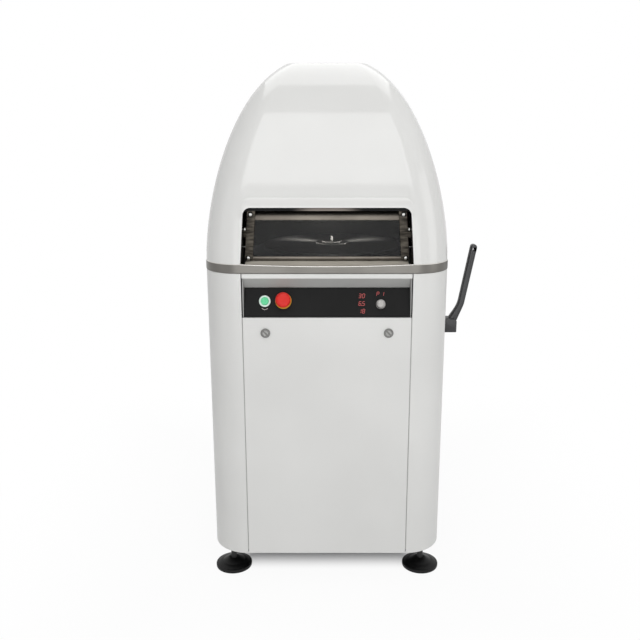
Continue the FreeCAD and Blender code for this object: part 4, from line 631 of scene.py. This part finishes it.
levelBar = drawBar(digits["width"])
uprightBar = drawBar(digits["height"] / 2)
slant = math.radians(digits["leanDeg"])
halfWide, halfTall = digits["width"] / 2, digits["height"] / 2
spots = {"a": (0, halfTall, False), "g": (0, 0, False), "d": (0, -halfTall, False),
         "b": (halfWide, halfTall / 2, True), "c": (halfWide, -halfTall / 2, True),
         "f": (-halfWide, halfTall / 2, True), "e": (-halfWide, -halfTall / 2, True)}
bars = []
for text, xMm, alongMm, pitch in numbers:
    for place, sign in enumerate(text):
        middle = (place - (len(text) - 1) / 2) * pitch
        for letter in segments[sign]:
            x, y, upright = spots[letter]
            bar = twin(uprightBar if upright else levelBar)
            bar.rotation_euler.z = math.pi / 2 - slant if upright else 0
            setDown(bar, middle + x + y * math.tan(slant), y, 0)
            bars.append(ontoConsole(bar, xMm, alongMm, digits["out"]))
point = drawUp([(decimalPoint["radius"], 0), (decimalPoint["radius"], digits["deep"]),
                (decimalPoint["face"], digits["deep"])], decimalPoint["sides"])
setDown(point, -halfTall * math.tan(slant), -halfTall, 0)
bars.append(ontoConsole(point, decimalPoint["x"], decimalPoint["along"], digits["out"]))
for piece in (levelBar, uprightBar):
    bpy.data.objects.remove(piece)
seat(gather(bars), "litNumbers", "litRed", "machine", "display_red")

# small arrow under the start button: two strokes of ink that meet in a point
arrow = {"x": -161, "along": 20.5, "stroke": 9, "bar": 1.5, "thick": 0.15, "turnDeg": 28, "round": 0.05}
strokeTurn = math.radians(arrow["turnDeg"])
strokes = []
for side in (-1, 1):
    stroke = blockOf((arrow["stroke"], arrow["bar"], arrow["thick"]), (0, 0, arrow["thick"] / 2))
    stroke.rotation_euler.z = side * strokeTurn
    setDown(stroke, side * arrow["stroke"] / 2 * math.cos(strokeTurn), 0, 0)
    strokes.append(stroke)
inkArrow = gather(strokes)
work(inkArrow, "BEVEL", width=arrow["round"] * mm, segments=1)
seat(ontoConsole(inkArrow, arrow["x"], arrow["along"]), "inkArrow", "paleInk", "machine", "panel_black")
print("control panel and feet fitted")

# guard rails: the lower one is a plain bar, and the upper one rolls back towards its top. It is drawn with extra
# depth and then squeezed, so that the roll is taller than it is deep.
rails = {"face": -291, "depth": 12, "lowHalf": 212, "low": (891, 901), "highHalf": 204, "high": (995, 1020),
         "roll": 22, "rollSteps": 8, "extra": 2, "edge": 1.2, "edgeSteps": 2}
lowZ, highZ = rails["low"], rails["high"]
drawnDeep = rails["extra"] * rails["depth"]
topBar = blockOf((2 * rails["highHalf"], drawnDeep, highZ[1] - highZ[0]),
                 (0, rails["face"] + drawnDeep / 2, sum(highZ) / 2))
bpy.ops.object.mode_set(mode="EDIT")
pick("EDGE", lambda e: all(v.co.z > highZ[1] * mm - hair and v.co.y < rails["face"] * mm + hair for v in e.verts))
bpy.ops.mesh.bevel(offset=rails["roll"] * mm, segments=rails["rollSteps"])
bpy.ops.mesh.select_all(action="SELECT")
bpy.ops.transform.resize(value=(1, 1 / rails["extra"], 1), center_override=(0, rails["face"] * mm, 0))
bpy.ops.object.mode_set(mode="OBJECT")
lowBar = blockOf((2 * rails["lowHalf"], rails["depth"], lowZ[1] - lowZ[0]),
                 (0, rails["face"] + rails["depth"] / 2, sum(lowZ) / 2))
guardBars = gather([topBar, lowBar])
roundEdges(guardBars, rails["edge"], rails["edgeSteps"])
seat(guardBars, "guardBars", "brushedGuard", "guard", "guard_steel", "guard_rails")

# pivot heads: a bright dome on each lug
pivots = {"x": 213.4, "y": -290.8, "z": 972, "sides": 32, "rings": [
    (4.8, 0), (4.8, 1.6), (4.5, 2.4), (3.6, 3.3), (2.2, 3.9), (0.6, 4.1)]}
dome = drawUp(pivots["rings"], pivots["sides"])
domes = [dome, twin(dome)]
for piece, side in zip(domes, (-1, 1)):
    piece.rotation_euler.x = math.pi / 2
    setDown(piece, side * pivots["x"], pivots["y"], pivots["z"])
seat(gather(domes), "pivotHeads", "polishedSteel", "guard", "guard_steel")

# lock faces: a thin plate on each core with a slot across it, and a darker plate in that slot as painted shade
lockFace = {"x": 160, "y": -347.5, "z": 709, "slot": (4.2, 15.2), "slotDeg": 45, "cutter": (4.2, 30.4, 2),
            "floor": 0.1, "floorRound": 0.02, "sides": 48, "rings": [(7.7, 0), (7.7, 0.3), (7.4, 0.5)]}
for side, body in ((-1, "left_lock"), (1, "right_lock")):
    plate = drawUp(lockFace["rings"], lockFace["sides"])
    groove = blockOf(lockFace["cutter"], (0, 0, 0))
    # a darker plate laid in the groove: painted shade for its depth
    slotShadePlate = blockOf((*lockFace["slot"], lockFace["floor"]), (0, 0, lockFace["floor"] / 2))
    work(slotShadePlate, "BEVEL", width=lockFace["floorRound"] * mm, segments=1)
    groove.rotation_euler.z = slotShadePlate.rotation_euler.z = math.radians(lockFace["slotDeg"])
    bakePlace(groove)
    bakePlace(slotShadePlate)
    carve(plate, groove)
    bpy.data.objects.remove(groove)
    for piece in (plate, slotShadePlate):
        piece.rotation_euler.x = math.pi / 2
        setDown(piece, side * lockFace["x"], lockFace["y"], lockFace["z"])
    seat(plate, f"{body}Face", "brightNickel", body, "bright_steel", angleDeg=20)
    seat(slotShadePlate, f"{body}Slot", "nickelPlate", body, "bright_steel")
print("guard and locks fitted")

# hand lever: the cast form, its arm rounded to an oval section and its hub left with crisp edges
lever = {"y": -170, "depth": 24, "hubTop": 706, "eye": (405, 902), "eyeClear": 6.0, "nearMm": 0.1, "edgeDeg": 60,
         "armRound": 5.0, "armSteps": 5, "hubRound": 1.2, "hubSteps": 2, "joinMm": 0.02, "flatDeg": 0.2}
leverCast = twin(nodes["hand_lever"])
startFresh(leverCast)
bpy.ops.object.mode_set(mode="EDIT")
bpy.ops.mesh.select_all(action="SELECT")
bpy.ops.mesh.remove_doubles(threshold=lever["joinMm"] * mm)
bpy.ops.mesh.dissolve_limited(angle_limit=math.radians(lever["flatDeg"]))


# true for a corner on the front or back outline of the arm, but not on the rim of its eye
def onArmOutline(corner):
    x, y, z = corner.co / mm
    onFace = abs(abs(y - lever["y"]) - lever["depth"] / 2) < lever["nearMm"]
    return onFace and z > lever["hubTop"] and math.dist((x, z), lever["eye"]) > lever["eyeClear"]


armEdge = math.radians(lever["edgeDeg"])
pick("EDGE", lambda e: all(onArmOutline(v) for v in e.verts) and e.calc_face_angle(0) > armEdge)
bpy.ops.mesh.bevel(offset=lever["armRound"] * mm, segments=lever["armSteps"], clamp_overlap=False)
bpy.ops.object.mode_set(mode="OBJECT")
roundEdges(leverCast, lever["hubRound"], lever["hubSteps"])
seat(leverCast, "castLever", "leverEpoxy", "lever", "lever_black", "hand_lever", angleDeg=40)

# door seals: a strip behind each side panel's edge, with a bead that stands in the seam
seal = {"doorHalf": 218.5, "clear": 0.4, "wide": 7, "thick": 2, "bead": 1.5, "proud": 0.8, "round": 0.3,
        "roundSteps": 3, "backY": -343, "bottom": 81, "top": 749}
inner = seal["doorHalf"] + seal["clear"]
beadSide = (inner + seal["bead"]) * mm
beadFront = (seal["backY"] - seal["proud"] / 2) * mm
strips = []
for side in (-1, 1):
    strip = blockOf((seal["wide"], seal["thick"], seal["top"] - seal["bottom"]),
                    (side * (inner + seal["wide"] / 2), seal["backY"] + seal["thick"] / 2,
                     (seal["top"] + seal["bottom"]) / 2))
    bpy.ops.object.mode_set(mode="EDIT")
    bpy.ops.mesh.select_all(action="SELECT")
    bpy.ops.mesh.bisect(plane_co=(side * beadSide, 0, 0), plane_no=(1, 0, 0))
    pick("FACE", lambda f: f.normal.y < -squarely and abs(f.calc_center_median().x) < beadSide)
    bpy.ops.mesh.extrude_region_move(TRANSFORM_OT_translate={"value": (0, -seal["proud"] * mm, 0)})
    pick("EDGE", lambda e: all(v.co.y < beadFront for v in e.verts))
    bpy.ops.mesh.bevel(offset=seal["round"] * mm, segments=seal["roundSteps"])
    bpy.ops.object.mode_set(mode="OBJECT")
    strips.append(strip)
seat(gather(strips), "doorSeals", "sealSilicone", "machine", "casing_white")

# rear louvres: a pressed lip over each slot
louvre = {"wide": 156, "out": 6, "tall": 9, "round": 4.5, "roundSteps": 5, "skin": 1.0, "x": 93, "y": 345,
          "firstZ": 560, "pitch": 18, "count": 9}
pressed = blockOf((louvre["wide"], louvre["out"], louvre["tall"]), (0, louvre["out"] / 2, louvre["tall"] / 2))
bpy.ops.object.mode_set(mode="EDIT")
pick("EDGE", lambda e: all(v.co.y > hair and v.co.z > hair for v in e.verts))
bpy.ops.mesh.bevel(offset=louvre["round"] * mm, segments=louvre["roundSteps"])
pick("FACE", lambda f: f.normal.z < -squarely or f.normal.y < -squarely)
bpy.ops.mesh.delete(type="FACE")
bpy.ops.object.mode_set(mode="OBJECT")
work(pressed, "SOLIDIFY", thickness=louvre["skin"] * mm, offset=-1)
lips = []
for side in (-1, 1):
    for row in range(louvre["count"]):
        pressedLip = twin(pressed)
        setDown(pressedLip, side * louvre["x"], louvre["y"], louvre["firstZ"] + row * louvre["pitch"])
        lips.append(pressedLip)
bpy.data.objects.remove(pressed)
seat(gather(lips), "louvreLips", "whitePowderCoat", "machine", "casing_white")
print("lever, seals and louvres made")

# camera at the photograph's place: a third of a metre above the band, looking a little down
view = {"distance": 1.93, "height": 1.236, "pitchDeg": 14.3, "focalPx": 770, "framePx": 640, "sensorMm": 36,
        "centrePx": 327}
cameraData = bpy.data.cameras.new("camera")
camera = bpy.data.objects.new("camera", cameraData)
bpy.context.scene.collection.objects.link(camera)
cameraData.sensor_width = view["sensorMm"]
cameraData.lens = view["focalPx"] / view["framePx"] * view["sensorMm"]
cameraData.shift_x = (view["framePx"] / 2 - view["centrePx"]) / view["framePx"]
camera.location = (0, frontY - view["distance"], view["height"])
camera.rotation_euler = (math.radians(90 - view["pitchDeg"]), 0, 0)
bpy.context.scene.camera = camera

# studio: a softbox high in front, one overhead, one at each side and a broad fill behind the camera
lamps = {
    "topBox": {"place": (0, 0.95, 3.2), "aim": (0, 0.1, 1.2), "size": (2.4, 2.0), "watts": 24},
    "rightBox": {"place": (2.6, -1.2, 1.5), "aim": (0, 0, 0.7), "size": (1.4, 2.2), "watts": 13},
    "leftBox": {"place": (-2.6, -1.4, 1.4), "aim": (0, 0, 0.7), "size": (1.2, 2.2), "watts": 2.5},
    "frontFill": {"place": (0, -3.2, 0.95), "aim": (0, 0, 0.95), "size": (3.2, 1.8), "watts": 28},
}
# a small lamp inside, over the middle of the table, lights the painted highlight on it and isn't seen itself
lamps["chamberLamp"] = {"place": (0, -0.05, 0.955), "aim": (0, 0.05, 0.89), "size": (0.3, 0.03), "watts": 0.42,
                        "hidden": True}
# the front softbox is wider at its foot, so it hangs in rows
frontBox = {"middle": (0, -1.44, 2.54), "aim": (0, -0.185, 1.261), "tall": 1.45, "topWide": 0.75, "footWide": 1.9,
            "rows": 6, "wattsPerM2": 6.3}
boxAim = (Vector(frontBox["aim"]) - Vector(frontBox["middle"])).normalized()
boxUp = Vector((1, 0, 0)).cross(boxAim)
rowTall = frontBox["tall"] / frontBox["rows"]
for row in range(frontBox["rows"]):
    upShare = (row + 0.5) / frontBox["rows"]
    rowWide = frontBox["footWide"] + (frontBox["topWide"] - frontBox["footWide"]) * upShare
    rowPlace = Vector(frontBox["middle"]) + boxUp * frontBox["tall"] * (upShare - 0.5)
    lamps[f"frontBox{row}"] = {"place": rowPlace, "aim": rowPlace + boxAim, "size": (rowWide, rowTall),
                               "watts": frontBox["wattsPerM2"] * rowWide * rowTall}
for name, lamp in lamps.items():
    data = bpy.data.lights.new(name, "AREA")
    data.shape = "RECTANGLE"
    data.size, data.size_y = lamp["size"]
    data.energy = lamp["watts"]
    light = bpy.data.objects.new(name, data)
    bpy.context.scene.collection.objects.link(light)
    light.visible_camera = light.visible_glossy = not lamp.get("hidden")
    light.location = lamp["place"]
    light.rotation_euler = (Vector(lamp["aim"]) - Vector(lamp["place"])).to_track_quat("-Z", "Y").to_euler()

# white surround for the eye and for reflections, softer light for what it casts
surround = {"seen": 1.0, "cast": 0.32}
world = bpy.data.worlds.new("surround")
bpy.context.scene.world = world
world.use_nodes = True
worldTree = world.node_tree
path = addNode(worldTree, "ShaderNodeLightPath").outputs
seen = addNode(worldTree, "ShaderNodeMath", {
    0: path["Is Camera Ray"], 1: path["Is Glossy Ray"]}, operation="MAXIMUM")
through = addNode(worldTree, "ShaderNodeMath", {
    0: seen.outputs[0], 1: path["Is Transmission Ray"]}, operation="MAXIMUM")
level = addNode(worldTree, "ShaderNodeMapRange", {
    "Value": through.outputs[0], "To Min": surround["cast"], "To Max": surround["seen"]})
background = worldTree.nodes["Background"]
background.inputs["Color"].default_value = (1, 1, 1, 1)
worldTree.links.new(level.outputs[0], background.inputs["Strength"])

# pale floor: it keeps the machine's shadow under the casing and runs out to plain white beyond it
floorLook = {"sizeM": 30, "color": "#F2F2F2", "rough": 0.6, "specular": 0.2, "halfWide": 0.32, "halfDeep": 0.345,
             "shadow": (0.62, 0.92), "rim": 0.94, "farReach": 3.5}
startFresh()
bpy.ops.mesh.primitive_plane_add(size=floorLook["sizeM"], location=(0, 0, 0))
floor = bpy.context.object
floor.name = "floor"
floorMat = bpy.data.materials.new("paleFloor")
floorMat.use_nodes = True
floorTree = floorMat.node_tree
floorShader = floorTree.nodes["Principled BSDF"]
floorShader.inputs["Base Color"].default_value = linear(floorLook["color"])
floorShader.inputs["Roughness"].default_value = floorLook["rough"]
floorShader.inputs["Specular IOR Level"].default_value = floorLook["specular"]
white = addNode(floorTree, "ShaderNodeEmission", {"Color": (1, 1, 1, 1), "Strength": 1.0})
# how far out a spot lies, as a share of the casing's half width or half depth
spot = addNode(floorTree, "ShaderNodeTexCoord").outputs["Object"]
scaled = addNode(floorTree, "ShaderNodeVectorMath", {
    0: spot, 1: (1 / floorLook["halfWide"], 1 / floorLook["halfDeep"], 0)}, operation="MULTIPLY")
folded = addNode(floorTree, "ShaderNodeVectorMath", {0: scaled.outputs[0]}, operation="ABSOLUTE")
sides = addNode(floorTree, "ShaderNodeSeparateXYZ", {0: folded.outputs[0]}).outputs
reach = addNode(floorTree, "ShaderNodeMath", {0: sides["X"], 1: sides["Y"]}, operation="MAXIMUM")
under = addNode(floorTree, "ShaderNodeMapRange", {
    "Value": reach.outputs[0], "From Min": floorLook["shadow"][0], "From Max": floorLook["shadow"][1],
    "To Min": 0.0, "To Max": floorLook["rim"]}, interpolation_type="SMOOTHSTEP")
beyond = addNode(floorTree, "ShaderNodeMapRange", {
    "Value": reach.outputs[0], "From Min": floorLook["shadow"][1], "From Max": floorLook["farReach"],
    "To Min": 0.0, "To Max": 1 - floorLook["rim"]}, interpolation_type="SMOOTHSTEP")
fade = addNode(floorTree, "ShaderNodeMath", {0: under.outputs[0], 1: beyond.outputs[0]})
ray = addNode(floorTree, "ShaderNodeLightPath").outputs
toEye = addNode(floorTree, "ShaderNodeMath", {
    0: ray["Is Camera Ray"], 1: ray["Is Glossy Ray"]}, operation="MAXIMUM")
whiteShare = addNode(floorTree, "ShaderNodeMath", {0: toEye.outputs[0], 1: fade.outputs[0]}, operation="MULTIPLY")
blend = addNode(floorTree, "ShaderNodeMixShader", {
    "Fac": whiteShare.outputs[0], 1: floorShader.outputs[0], 2: white.outputs[0]})
floorTree.links.new(blend.outputs[0], floorTree.nodes["Material Output"].inputs["Surface"])
floor.data.materials.append(floorMat)
bpy.context.scene.view_settings.view_transform = "Standard"
print("camera, light and floor set")
